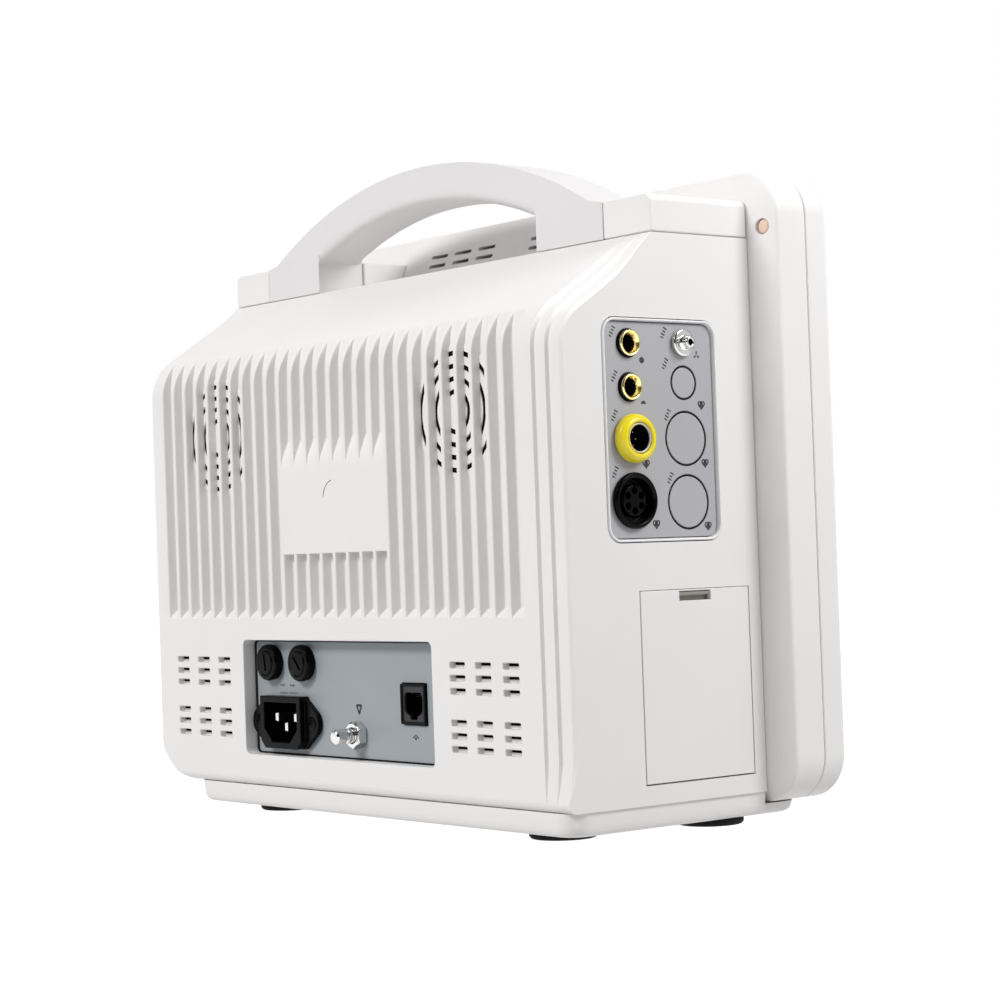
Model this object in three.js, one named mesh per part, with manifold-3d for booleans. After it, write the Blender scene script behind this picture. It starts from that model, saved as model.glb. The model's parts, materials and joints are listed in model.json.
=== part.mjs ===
// Bedside patient monitor with a 12.1-inch screen, seen as an assembly of separate pieces.
// Millimetres, +Z up. The screen faces -Y, the finned rear cover faces +Y, and the sensor sockets
// and the battery door are on the -X side. The origin is under the middle of the outline, on the floor.
import * as THREE from 'three';
import { mergeVertices } from 'three/addons/utils/BufferGeometryUtils.js';
import Module from 'manifold-3d';

const wasm = await Module();
wasm.setup();

// ---- driving dimensions ----
const GAP = 0.3;                 // clearance between pieces that touch
const WALL = 3;                  // moulded wall
const EPS = 1;                   // how far a cutter runs past the face that it cuts

const BODY_X = 143.4;            // half width of the rear cover
const REAR_Y = 69.3;             // rear face
const FLARE_Y = -30.2;           // where the rear cover meets the bezel
const BODY_Z0 = 12;              // underside of the rear cover
const SPLIT_Y = 19.5;            // the rear cover's top edge
const SPLIT_Z = 225;
const SLOPE = THREE.MathUtils.degToRad(33.1);   // shoulder slope above the horizontal
const SHOULDER_R = 20;
const FAR_CORNER_R = 30;         // lower corner on the +X side
const FAR_EDGE_R = 6;            // vertical edge on the +X side
const REAR_WALL = 6.6;           // ribs and groove floors together
const DECK_Z = 239.8;             // top of the blocks beside the handle

const BEZEL_X = 157;
const BEZEL_Z0 = 7.5;
const BEZEL_Z1 = 251.4;
const BEZEL_R = 18;
const FLARE_DEPTH = 3;
const PARTING_Y = -48.6;
const FRONT_Y = -61.3;
const VENT_WALL_DEPTH = 4.85;    // how far the vented wall leans back behind the handle well
const TOP_VENT = { x: -1.7, first: 18.2, pitch: 17, rows: [236.6, 240.8], width: 12, height: 1.6 };
const PLUG = { x: -150.2, z: 229, radius: 2.8 };

const GROOVE_PITCH = 9.39;
const GROOVE_WIDTH = 7;
const GROOVE_DEPTH = 4.2;
const GROOVE_X0 = 4.2;           // middle groove
const GROOVES_EACH_SIDE = 13;
const GROOVE_Z0 = 83;
const GROOVE_RAMP = 3.6;
const GROOVE_ARC_Z = 183;
const GROOVE_ARC_R = 40;
const LABEL_FIRST = -4;          // grooves -4 to 3 stop for the plain label panel
const LABEL_LAST = 3;
const LABEL_Z0 = 109.5;
const LABEL_Z1 = 139;
const LABEL_FADE = 17;

const FLUTE_STEP = 1.45;         // each riser of the stepped rear edge
const FLUTE_TREAD = 5.4;
const FLUTE_RISER = 0.3;

const GRILLE_Z = 161.5;
const GRILLE_X = [GROOVE_X0 + 9 * GROOVE_PITCH, GROOVE_X0 - 9 * GROOVE_PITCH];
const GRILLE_RADII = [7.8, 12.7, 17.5, 22.4];
const GRILLE_SLOT = 2;

const VENT_SLOT = { width: 9.5, height: 2.4 };
const VENT_COLUMNS_FAR = [119.2, 102.2, 85.5];
const VENT_COLUMNS_NEAR = [-80.1, -96, -112.7];
const VENT_ROWS = [65, 60, 55, 43, 38, 33];

const BAY = { x0: -64, x1: 69.8, z0: 25.4, z1: 73.7, depth: 6, radius: 2.5 };
const BAY_Y = REAR_Y - BAY.depth;               // face of the connector plate
const PLATE_T = 1.6;

const INLET = { x: 44.4, z: 39.3, flange: 49.6, height: 22, tip: 6, proud: 5, depth: 20 };
const INLET_BODY = { width: 30, height: 22 };
const INLET_CAVITY = { width: 24.5, height: 16.6, chamfer: 5.5, depth: 17 };
const FUSES = [{ name: 'left', x: 55.3, turn: 0.15 }, { name: 'right', x: 31.2, turn: 0.7 }];
const FUSE_Z = 64.2;
const STUD = { x: -6.4, z: 35.6, tip: 76.3, nutCorner: 5.7, nutThick: 3.9 };
const NET = { x: -44.4, z: 49, width: 16, height: 16, proud: 1.2, depth: 15 };

const PANEL = { y0: -10.1, y1: 44.7, z0: 110.4, z1: 191.2, radius: 5, sunk: 1 };
const PANEL_X = -BODY_X + PANEL.sunk;           // outer face of the sensor plate
const TEMP_JACKS = [{ y: 32.5, z: 183 }, { y: 32.3, z: 166.7 }];
const RING_SOCKET = { y: 31.7, z: 147.6 };
const SIX_WAY_SOCKET = { y: 32.1, z: 124.6 };
const CUFF_FITTING = { y: 5.4, z: 183.7 };
const BLANKS = [{ y: 4.8, z: 168.7, d: 13.3 }, { y: 4.6, z: 147.7, d: 21.2 }, { y: 4.4, z: 123.8, d: 21.2 }];

const DOOR = { y0: -24.2, y1: 31.6, z0: 19, z1: 91.4, thick: 2.4 };
const HINGE = { x: -BODY_X + 1.2, z: DOOR.z0 + 1.6, pin: 0.7, hole: 1 };
const LATCH = { width: 16, height: 3.6, z: 88.6, ridge: 1.4 };
const BATTERY = { y0: -19, y1: 27, z0: 25, z1: 86, length: 88 };

const PLINTH = { x0: -142.4, x1: 114.5, y0: -51, y1: 67.6, z0: 3, radius: 9 };
const FOOT_R = 13;
const FEET = {
  front_left: [-126, -16],
  front_right: [71, -16],
  rear_left: [-112.5, 46.5],
  rear_right: [71, 46.5],
};

const WINDOW = { x: -20, z: 131, width: 250, height: 190 };
const SCREEN = { width: 246, height: 184.5, thick: 8 };
const KEY_X = 131;
const KEYS = ['power', 'alarm', 'freeze', 'cuff', 'record', 'menu', 'trend'];
const KEY = { width: 27, height: 11, top: 221, pitch: 20, proud: 1.6 };
const LAMP = { width: 60, z0: 236, z1: 243 };
const KNOB = { z: 52, radius: 17, length: 12.2, gap: 1 };

const HANDLE = { y0: -4.5, foot: 116.2, leg: 76, outer: 220, outerZ: 50, inner: 195, innerZ: 59.2 };

// ---- helpers ----
function toSolid(geometry) {
  const bare = geometry.clone();
  for (const name of Object.keys(bare.attributes)) {
    if (name !== 'position') bare.deleteAttribute(name);
  }
  const merged = mergeVertices(bare, 1e-4);
  const position = merged.attributes.position.array;
  const index = Array.from(merged.index.array);
  let volume = 0;
  const corner = (i) => new THREE.Vector3().fromArray(position, 3 * index[i]);
  for (let i = 0; i < index.length; i += 3) {
    volume += corner(i).dot(corner(i + 1).cross(corner(i + 2)));
  }
  if (volume < 0) index.reverse();
  const mesh = new wasm.Mesh({
    numProp: 3,
    vertProperties: new Float32Array(position),
    triVerts: new Uint32Array(index),
  });
  return new wasm.Manifold(mesh);
}

function toGeometry(solid) {
  const mesh = solid.getMesh();
  const geometry = new THREE.BufferGeometry();
  geometry.setAttribute('position', new THREE.BufferAttribute(new Float32Array(mesh.vertProperties), 3));
  geometry.setIndex(new THREE.BufferAttribute(new Uint32Array(mesh.triVerts), 1));
  geometry.computeVertexNormals();
  return geometry;
}

const joined = (...solids) => solids.reduce((a, b) => a.add(b));
const cut = (solid, ...tools) => tools.reduce((a, b) => a.subtract(b), solid);

function box(x0, x1, y0, y1, z0, z1) {
  const geometry = new THREE.BoxGeometry(x1 - x0, y1 - y0, z1 - z0);
  geometry.translate((x0 + x1) / 2, (y0 + y1) / 2, (z0 + z1) / 2);
  return toSolid(geometry);
}

function polygon(points) {
  return new THREE.Shape(points.map(([a, b]) => new THREE.Vector2(a, b)));
}

function roundedRectangle(a0, a1, b0, b1, radius) {
  const shape = new THREE.Shape();
  shape.absarc(a1 - radius, b0 + radius, radius, -Math.PI / 2, 0);
  shape.absarc(a1 - radius, b1 - radius, radius, 0, Math.PI / 2);
  shape.absarc(a0 + radius, b1 - radius, radius, Math.PI / 2, Math.PI);
  shape.absarc(a0 + radius, b0 + radius, radius, Math.PI, 1.5 * Math.PI);
  return shape;
}

function extruded(shape, length, segments) {
  return new THREE.ExtrudeGeometry(shape, { depth: length, bevelEnabled: false, curveSegments: segments });
}

// A shape drawn in (y, z), swept along X.
function prismX(shape, x0, x1, segments = 4) {
  const geometry = extruded(shape, x1 - x0, segments);
  geometry.applyMatrix4(new THREE.Matrix4().makeBasis(
    new THREE.Vector3(0, 1, 0), new THREE.Vector3(0, 0, 1), new THREE.Vector3(1, 0, 0)));
  geometry.translate(x0, 0, 0);
  return toSolid(geometry);
}

// A shape drawn in (x, z), swept along Y.
function prismY(shape, y0, y1, segments = 3) {
  const geometry = extruded(shape, y1 - y0, segments);
  geometry.rotateX(Math.PI / 2);
  geometry.translate(0, y1, 0);
  return toSolid(geometry);
}

// A profile of [radius, height] turned about the Y axis, with height along +Y.
function turned(profile, segments = 16) {
  const points = profile.map(([radius, height]) => new THREE.Vector2(radius, height));
  return toSolid(new THREE.LatheGeometry(points, segments));
}

// The same, standing out of the rear face at (x, y, z).
function turnedRear(profile, x, y, z, segments) {
  return turned(profile, segments).translate([x, y, z]);
}

// The same, standing out of the -X side at (x, y, z).
function turnedSide(profile, x, y, z, segments) {
  return turned(profile, segments).rotate([0, 0, 90]).translate([x, y, z]);
}

const disc = (radius, h0, h1) => [[0, h0], [radius, h0], [radius, h1], [0, h1]];

// A closed skin through outlines that all have the same number of points.
function loft(outlines, closedLoop = false) {
  const count = outlines[0].length;
  const vertices = outlines.flat();
  const index = [];
  const rings = closedLoop ? outlines.length : outlines.length - 1;
  for (let ring = 0; ring < rings; ring += 1) {
    const a = ring * count;
    const b = ((ring + 1) % outlines.length) * count;
    for (let i = 0; i < count; i += 1) {
      const j = (i + 1) % count;
      index.push(a + i, a + j, b + j, a + i, b + j, b + i);
    }
  }
  if (!closedLoop) {
    for (const ring of [0, outlines.length - 1]) {
      const flat = flatten(outlines[ring].map((p) => new THREE.Vector3(...p)));
      const flip = (ring === 0) !== THREE.ShapeUtils.isClockWise(flat);
      for (const face of THREE.ShapeUtils.triangulateShape(flat, [])) {
        const [p, q, r] = face.map((i) => ring * count + i);
        index.push(...(flip ? [p, r, q] : [p, q, r]));
      }
    }
  }
  const geometry = new THREE.BufferGeometry();
  geometry.setAttribute('position', new THREE.Float32BufferAttribute(vertices.flat(), 3));
  geometry.setIndex(index);
  return toSolid(geometry);
}

// The two coordinates that vary most over an outline.
function flatten(outline) {
  const span = new THREE.Box3().setFromPoints(outline).getSize(new THREE.Vector3());
  const flatAxis = ['x', 'y', 'z'].reduce((a, b) => (span[b] < span[a] ? b : a));
  const [u, v] = { x: ['y', 'z'], y: ['z', 'x'], z: ['x', 'y'] }[flatAxis];
  return outline.map((p) => new THREE.Vector2(p[u], p[v]));
}

function arc(centreA, centreB, radius, from, to, steps) {
  return Array.from({ length: steps + 1 }, (_, i) => {
    const angle = THREE.MathUtils.lerp(from, to, i / steps);
    return [centreA + radius * Math.cos(angle), centreB + radius * Math.sin(angle)];
  });
}

// ---- materials ----
const finish = (color, roughness, metalness = 0) => (
  new THREE.MeshStandardMaterial({ color, roughness, metalness }));
const white = finish(0xe9e9e8, 0.55);
const plateGrey = finish(0x9a9ea3, 0.5);
const panelGrey = finish(0xa6a6aa, 0.5);
const black = finish(0x17171a, 0.4);
const rubber = finish(0x1c1c1e, 0.85);
const chrome = finish(0xc8c8c8, 0.15, 1);
const gold = finish(0xc9a24a, 0.25, 1);
const yellow = finish(0xf0d81c, 0.3);
const latchGrey = finish(0x8f8d86, 0.5);
const glass = finish(0x101418, 0.05);
const keyGrey = finish(0xb9bec4, 0.5);
const sheet = finish(0xa9abad, 0.4, 1);
const board = finish(0x1d5a34, 0.6);
const copper = finish(0xb46a3c, 0.35, 1);
const peach = finish(0xd9b59c, 0.6);
const amber = finish(0xd98a2b, 0.3);

const monitor = new THREE.Group();

function add(name, solid, material) {
  const mesh = new THREE.Mesh(toGeometry(solid), material);
  mesh.name = name;
  monitor.add(mesh);
}

// ---- rear cover ----
const RISE_Z = SPLIT_Z - (REAR_Y - SHOULDER_R + SHOULDER_R * Math.sin(SLOPE) - SPLIT_Y) * Math.tan(SLOPE);
const SHOULDER_Z = RISE_Z - SHOULDER_R * Math.cos(SLOPE);      // height of the shoulder arc's centre

// The side view as (y, z) points, with the rear face and shoulder moved in by `inset`.
// `fade` brings the inset to nothing at the foot and at the top edge.
function sidePoints(inset, fade = true) {
  const y = REAR_Y - SHOULDER_R;
  const footR = 4;
  const start = fade ? 0 : inset;
  const foot = arc(REAR_Y - footR - start, BODY_Z0 + footR, footR, -Math.PI / 2, 0, 3);
  const shoulder = arc(y, SHOULDER_Z, SHOULDER_R - inset, 0, Math.PI / 2 - SLOPE, 7);
  const last = shoulder[shoulder.length - 1];
  const run = 0.86 * (last[0] - SPLIT_Y) / Math.cos(SLOPE);
  const high = [last[0] - run * Math.cos(SLOPE), last[1] + run * Math.sin(SLOPE)];
  return [
    [FLARE_Y, BODY_Z0], ...foot, [REAR_Y - inset, BODY_Z0 + 9], ...shoulder, high,
    [SPLIT_Y, SPLIT_Z], [FLARE_Y, SPLIT_Z],
  ];
}

function bodyBlank() {
  const stations = arc(BODY_X - FAR_EDGE_R, -FAR_EDGE_R, FAR_EDGE_R, 0, Math.PI / 2, 4)
    .map(([x, drop]) => [x, -drop]);
  let x = -(BODY_X - 2 * FLUTE_TREAD - 3 * FLUTE_RISER);
  let inset = 0;
  stations.push([x, inset]);
  for (let step = 0; step < 3; step += 1) {
    inset += FLUTE_STEP;
    x -= FLUTE_RISER;
    stations.push([x, inset]);
    if (step < 2) {
      inset += 0.25;
      x -= FLUTE_TREAD;
      stations.push([x, inset]);
    }
  }
  const skin = loft(stations.map(([sx, si]) => sidePoints(si).map(([y, z]) => [sx, y, z])));
  const outline = new THREE.Shape();
  outline.moveTo(-BODY_X - EPS, BODY_Z0 - EPS);
  outline.lineTo(BODY_X - FAR_CORNER_R, BODY_Z0 - EPS);
  outline.lineTo(BODY_X - FAR_CORNER_R, BODY_Z0);
  outline.absarc(BODY_X - FAR_CORNER_R, BODY_Z0 + FAR_CORNER_R, FAR_CORNER_R, -Math.PI / 2, 0);
  outline.lineTo(BODY_X, SPLIT_Z + EPS);
  outline.lineTo(-BODY_X - EPS, SPLIT_Z + EPS);
  return skin.intersect(prismY(outline, FLARE_Y - EPS, REAR_Y + EPS, 8));
}

// One groove cutter; it runs from z0 to z1, or into the shoulder when z1 is left out.
function grooveCutter(n, z0, z1, fade) {
  const floor = REAR_Y - GROOVE_DEPTH;
  const out = REAR_Y + EPS;
  const points = [[out, z0], [REAR_Y, z0], [floor, z0 + (fade || GROOVE_RAMP)]];
  if (z1) {
    points.push([floor, z1], [out, z1]);
  } else {
    points.push(...arc(floor - GROOVE_ARC_R, GROOVE_ARC_Z, GROOVE_ARC_R, 0, 0.62, 4));
    points.push([out, SPLIT_Z - 18]);
  }
  const x = GROOVE_X0 + n * GROOVE_PITCH;
  return prismX(polygon(points), x - GROOVE_WIDTH / 2, x + GROOVE_WIDTH / 2);
}

function grooveCutters() {
  const cutters = [];
  for (let n = -GROOVES_EACH_SIDE; n <= GROOVES_EACH_SIDE; n += 1) {
    if (n >= LABEL_FIRST && n <= LABEL_LAST) {
      cutters.push(grooveCutter(n, GROOVE_Z0, LABEL_Z0), grooveCutter(n, LABEL_Z1, null, LABEL_FADE));
    } else {
      cutters.push(grooveCutter(n, GROOVE_Z0));
    }
  }
  return wasm.Manifold.union(cutters);
}

// Rings of slots that open only in the groove floors.
function grilleCutters() {
  const y0 = REAR_Y - REAR_WALL - EPS;
  const y1 = REAR_Y - GROOVE_DEPTH + EPS;
  return GRILLE_X.flatMap((x) => GRILLE_RADII.map((radius) => {
    const half = GRILLE_SLOT / 2;
    const profile = [[radius - half, y0], [radius + half, y0], [radius + half, y1], [radius - half, y1],
      [radius - half, y0]];
    const ring = turned(profile, 18).translate([x, 0, GRILLE_Z]);
    const columns = [-2, -1, 0, 1, 2].map((n) => {
      const middle = x + n * GROOVE_PITCH;
      const reach = GROOVE_WIDTH / 2 - 0.4;
      return box(middle - reach, middle + reach, y0 - EPS, y1 + EPS, GRILLE_Z - 30, GRILLE_Z + 30);
    });
    return ring.intersect(wasm.Manifold.union(columns));
  }));
}

function ventCutters() {
  const halfW = VENT_SLOT.width / 2;
  const halfH = VENT_SLOT.height / 2;
  return [...VENT_COLUMNS_FAR, ...VENT_COLUMNS_NEAR].flatMap((x) => VENT_ROWS.map((z) => (
    box(x - halfW, x + halfW, REAR_Y - REAR_WALL - EPS, REAR_Y + EPS, z - halfH, z + halfH))));
}

function bayRectangle(grow) {
  return roundedRectangle(BAY.x0 - grow, BAY.x1 + grow, BAY.z0 - grow, BAY.z1 + grow, BAY.radius + grow);
}

function rearCover() {
  const inner = sidePoints(REAR_WALL, false).map(([y, z]) => [
    y === FLARE_Y ? y - EPS : y,
    THREE.MathUtils.clamp(z, BODY_Z0 + WALL, SPLIT_Z - WALL),
  ]);
  const slopeTop = SPLIT_Y - REAR_WALL * Math.sin(SLOPE) + WALL / Math.tan(SLOPE) - 2.5;
  inner[inner.length - 2] = [slopeTop, SPLIT_Z - WALL];
  const cavity = prismX(polygon(inner), -BODY_X + WALL, BODY_X - WALL);
  const cornerFill = cut(
    box(BODY_X - FAR_CORNER_R, BODY_X, FLARE_Y, REAR_Y - 2, BODY_Z0, BODY_Z0 + FAR_CORNER_R),
    prismY(new THREE.Shape().absarc(BODY_X - FAR_CORNER_R, BODY_Z0 + FAR_CORNER_R, FAR_CORNER_R - WALL,
      0, 2 * Math.PI), FLARE_Y - EPS, REAR_Y, 8));
  const hollow = cut(cavity, cornerFill);
  const bayTub = prismY(bayRectangle(WALL), BAY_Y - 4, REAR_Y - 2);
  let cover = joined(cut(bodyBlank(), hollow), bayTub);
  cover = cut(cover, grooveCutters(), ...grilleCutters(), ...ventCutters());
  cover = cut(cover, prismY(bayRectangle(0), BAY_Y - 5, REAR_Y + EPS));
  const pocket = roundedRectangle(PANEL.y0, PANEL.y1, PANEL.z0, PANEL.z1, PANEL.radius);
  cover = cut(cover, prismX(pocket, -BODY_X - EPS, -BODY_X + WALL + EPS));
  cover = cut(cover, box(-BODY_X - EPS, -BODY_X + WALL + EPS, DOOR.y0, DOOR.y1, DOOR.z0, DOOR.z1));
  cover = cut(cover, ...hingePins(HINGE.hole));
  return cut(cover, box(-125, 125, FLARE_Y - EPS, -9, SPLIT_Z - WALL - EPS, SPLIT_Z + EPS));
}

// ---- top cover and handle ----
function topCover() {
  const side = new THREE.Shape();
  const edge = 3;
  side.moveTo(-BODY_X, SPLIT_Z + GAP);
  side.lineTo(BODY_X, SPLIT_Z + GAP);
  side.absarc(BODY_X - edge, DECK_Z - edge, edge, 0, Math.PI / 2);
  side.absarc(-BODY_X + edge, DECK_Z - edge, edge, Math.PI / 2, Math.PI);
  const block = prismY(side, FLARE_Y, SPLIT_Y);
  const y0 = FLARE_Y - EPS;
  const y1 = SPLIT_Y + EPS;
  const footX = HANDLE.foot + GAP;
  const well = box(-HANDLE.leg + 1, HANDLE.leg - 1, y0, y1, SPLIT_Z + WALL, DECK_Z + EPS);
  const footRoom = box(-footX, footX, HANDLE.y0 - GAP, y1, SPLIT_Z, DECK_Z + EPS);
  const hollows = [[-BODY_X + WALL, -HANDLE.leg - 2], [HANDLE.leg + 2, BODY_X - WALL]].map(([x0, x1]) => (
    box(x0, x1, y0, HANDLE.y0 - WALL, SPLIT_Z, DECK_Z - WALL)));
  return cut(block, well, footRoom, ...hollows);
}

function handle() {
  const shape = new THREE.Shape();
  const top = DECK_Z + 1.4;
  const outerAngle = Math.asin((top - HANDLE.outerZ) / HANDLE.outer);
  const innerAngle = Math.acos(HANDLE.leg / HANDLE.inner);
  shape.moveTo(HANDLE.leg, SPLIT_Z + GAP);
  shape.lineTo(HANDLE.foot, SPLIT_Z + GAP);
  shape.lineTo(HANDLE.foot, DECK_Z);
  shape.absarc(0, HANDLE.outerZ, HANDLE.outer, outerAngle, Math.PI - outerAngle);
  shape.lineTo(-HANDLE.foot, DECK_Z);
  shape.lineTo(-HANDLE.foot, SPLIT_Z + GAP);
  shape.lineTo(-HANDLE.leg, SPLIT_Z + GAP);
  shape.absarc(0, HANDLE.innerZ, HANDLE.inner, Math.PI - innerAngle, innerAngle, true);
  return prismY(shape, HANDLE.y0, SPLIT_Y, 20);
}

// ---- bezel ----
// A rounded outline in the XZ plane at depth y, grown or shrunk from the full bezel outline.
function bezelOutline(y, inset, radius, frame = { x: BEZEL_X, z0: BEZEL_Z0, z1: BEZEL_Z1 }) {
  const x = frame.x - inset;
  const z0 = frame.z0 + inset;
  const z1 = frame.z1 - inset;
  const r = radius;
  const turn = Math.PI / 2;
  return [
    ...arc(x - r, z0 + r, r, -turn, 0, 5), ...arc(x - r, z1 - r, r, 0, turn, 5),
    ...arc(-x + r, z1 - r, r, turn, 2 * turn, 5), ...arc(-x + r, z0 + r, r, 2 * turn, 3 * turn, 5),
  ].map(([px, pz]) => [px, y, pz]);
}

function bezelRing() {
  const body = { x: BODY_X, z0: BODY_Z0, z1: DECK_Z };
  const rear = FLARE_Y - GAP;
  const ring = loft([
    bezelOutline(rear, 0, 6, body),
    bezelOutline(rear - FLARE_DEPTH, 0, BEZEL_R),
    bezelOutline(PARTING_Y, 0, BEZEL_R),
    bezelOutline(PARTING_Y, WALL, BEZEL_R - WALL),
    bezelOutline(rear - FLARE_DEPTH - WALL, WALL, BEZEL_R - WALL),
    bezelOutline(rear - WALL, 5, 3, body),
    bezelOutline(rear, 5, 3, body),
  ], true);
  const lean = VENT_WALL_DEPTH / (BEZEL_Z1 - DECK_Z);
  const foot = SPLIT_Z + WALL + GAP;
  const leanAt = (z) => rear - FLARE_DEPTH + (BEZEL_Z1 - z) * lean;
  const wall = prismX(polygon([
    [leanAt(foot), foot], [leanAt(BEZEL_Z1 - 0.6), BEZEL_Z1 - 0.6], [leanAt(BEZEL_Z1) - 3, BEZEL_Z1 - 1.6],
    [leanAt(DECK_Z) - 4, DECK_Z - 5.5], [leanAt(foot) - 3, foot],
  ]), -HANDLE.leg + 1.4, HANDLE.leg - 1.4);
  const slots = [];
  for (const side of [-1, 1]) {
    for (const column of [0, 1, 2]) {
      for (const z of TOP_VENT.rows) {
        const x = TOP_VENT.x + side * (TOP_VENT.first + column * TOP_VENT.pitch);
        const halfW = TOP_VENT.width / 2;
        const halfH = TOP_VENT.height / 2;
        slots.push(box(x - halfW, x + halfW, rear - 12, rear + 12, z - halfH, z + halfH));
      }
    }
  }
  const plugHole = turned(disc(PLUG.radius + GAP, -EPS, 14)).translate([PLUG.x, rear - 8, PLUG.z]);
  return cut(joined(ring, wall), ...slots, plugHole);
}

function holePlug() {
  return turned(disc(PLUG.radius, 0, 3.2)).translate([PLUG.x, FLARE_Y - GAP - 4.9, PLUG.z]);
}

function frontBezel() {
  const y = PARTING_Y - GAP;
  const blank = loft([
    bezelOutline(y, 0, BEZEL_R), bezelOutline(FRONT_Y + 3.2, 0, BEZEL_R),
    bezelOutline(FRONT_Y + 1, 0.9, BEZEL_R - 0.9), bezelOutline(FRONT_Y, 3, BEZEL_R - 3),
  ]);
  const cavity = loft([
    bezelOutline(y + EPS, WALL, BEZEL_R - WALL), bezelOutline(FRONT_Y + WALL, WALL, BEZEL_R - WALL),
  ]);
  const opening = prismY(windowShape(0), FRONT_Y - EPS, FRONT_Y + WALL + EPS);
  const keyHoles = KEYS.map((_, i) => prismY(keyShape(i, 0.3), FRONT_Y - EPS, FRONT_Y + WALL + EPS));
  const knobHole = turned(disc(4.2, -WALL - EPS, EPS)).translate([KEY_X, FRONT_Y + WALL, KNOB.z]);
  const lampHole = prismY(lampShape(GAP), FRONT_Y - EPS, FRONT_Y + WALL + EPS);
  return cut(blank, cavity, opening, ...keyHoles, knobHole, lampHole);
}

function windowShape(grow) {
  const halfW = WINDOW.width / 2 + grow;
  const halfH = WINDOW.height / 2 + grow;
  return roundedRectangle(WINDOW.x - halfW, WINDOW.x + halfW, WINDOW.z - halfH, WINDOW.z + halfH, 3 + grow);
}

function keyShape(i, grow) {
  const z = KEY.top - i * KEY.pitch;
  const halfW = KEY.width / 2 + grow;
  const halfH = KEY.height / 2 + grow;
  return roundedRectangle(KEY_X - halfW, KEY_X + halfW, z - halfH, z + halfH, 3 + grow);
}

function lampShape(grow) {
  const half = LAMP.width / 2 + grow;
  return roundedRectangle(WINDOW.x - half, WINDOW.x + half, LAMP.z0 - grow, LAMP.z1 + grow, 2 + grow);
}

// ---- connector bay ----
function inletFlange(grow) {
  const shape = new THREE.Shape();
  const tip = INLET.flange / 2 - INLET.tip + grow;
  const half = INLET.height / 2 + grow;
  const shoulder = INLET_BODY.width / 2 - 1;
  shape.absarc(INLET.x + tip, INLET.z, INLET.tip, -1.0, 1.0);
  shape.lineTo(INLET.x + shoulder, INLET.z + half);
  shape.lineTo(INLET.x - shoulder, INLET.z + half);
  shape.absarc(INLET.x - tip, INLET.z, INLET.tip, Math.PI - 1.0, Math.PI + 1.0);
  shape.lineTo(INLET.x - shoulder, INLET.z - half);
  shape.lineTo(INLET.x + shoulder, INLET.z - half);
  return shape;
}

function chamferedBottom(width, height, chamfer) {
  const a = width / 2;
  const b = height / 2;
  const { x, z } = INLET;
  return polygon([
    [x - a + chamfer, z - b], [x + a - chamfer, z - b], [x + a, z - b + chamfer],
    [x + a, z + b], [x - a, z + b], [x - a, z - b + chamfer],
  ]);
}

function mainsInlet() {
  const front = BAY_Y + INLET.proud;
  const flange = prismY(inletFlange(0), BAY_Y + GAP, BAY_Y + 2.6, 5);
  const nose = prismY(chamferedBottom(INLET_BODY.width, INLET_BODY.height, 3), BAY_Y + GAP, front);
  const backX = INLET_BODY.width / 2 - 1;
  const back = box(INLET.x - backX, INLET.x + backX, front - INLET.depth, BAY_Y + 1,
    INLET.z - 10, INLET.z + 10);
  const cavity = prismY(chamferedBottom(INLET_CAVITY.width, INLET_CAVITY.height, INLET_CAVITY.chamfer),
    front - INLET_CAVITY.depth, front + EPS);
  return cut(joined(flange, nose, back), cavity, ...[-1, 1].map((s) => screwHole(s)), ...inletPinHoles());
}

function screwHole(side) {
  return turnedRear(disc(1.8, -EPS, 6), INLET.x + side * 20, BAY_Y, INLET.z, 12);
}

const INLET_PINS = { line: [-7, 2], neutral: [7, 2], earth: [0, -2] };

function inletPin([dx, dz], grow) {
  const back = BAY_Y + INLET.proud - INLET.depth - 2;
  const front = BAY_Y - 0.5;
  return box(INLET.x + dx - 1 - grow, INLET.x + dx + 1 + grow, back - grow, front + grow,
    INLET.z + dz - 2 - grow, INLET.z + dz + 2 + grow);
}

function inletPinHoles() {
  return Object.values(INLET_PINS).map((at) => inletPin(at, GAP));
}

function fuseHolder({ x }) {
  const profile = [[4.6, -26], [6, -26], [6, GAP], [7.4, GAP], [7.4, 1.4], [4.6, 1.4], [4.6, -26]];
  return turnedRear(profile, x, BAY_Y, FUSE_Z);
}

function fuseCap({ x, turn }) {
  const profile = [[0, -5], [4.2, -5], [4.2, 1.7], [7.4, 1.7], [7.4, 4], [6.8, 4.8], [0, 4.8]];
  const slot = box(-4.8, 4.8, 3.4, 6, -0.7, 0.7).rotate([0, -THREE.MathUtils.radToDeg(turn) + 90, 0]);
  return cut(turned(profile), slot).translate([x, BAY_Y, FUSE_Z]);
}

function fuseLink({ x }) {
  return turnedRear(disc(2.6, -25.5, -5.5), x, BAY_Y, FUSE_Z, 12);
}

function studBody() {
  const tip = STUD.tip - BAY_Y;
  const profile = [[0, -12], [3, -12], [3, tip - 6], [2.2, tip - 6], [2.2, tip - 5], [3, tip - 5],
    [3, tip - 0.8], [2.4, tip], [0, tip]];
  return turnedRear(profile, STUD.x, BAY_Y, STUD.z, 16);
}

function studNut() {
  const { nutCorner: corner, nutThick } = STUD;
  const front = GAP + nutThick;
  const start = Math.PI / 6;
  const hex = prismY(polygon(arc(0, 0, corner, start, start + 5 * Math.PI / 3, 5)), 0, front + EPS);
  const profile = [[3.3, GAP], [corner, GAP], [corner, front - 0.5], [corner - 0.7, front], [3.3, front],
    [3.3, GAP]];
  return turned(profile, 24).intersect(hex).translate([STUD.x, BAY_Y, STUD.z]);
}

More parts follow.
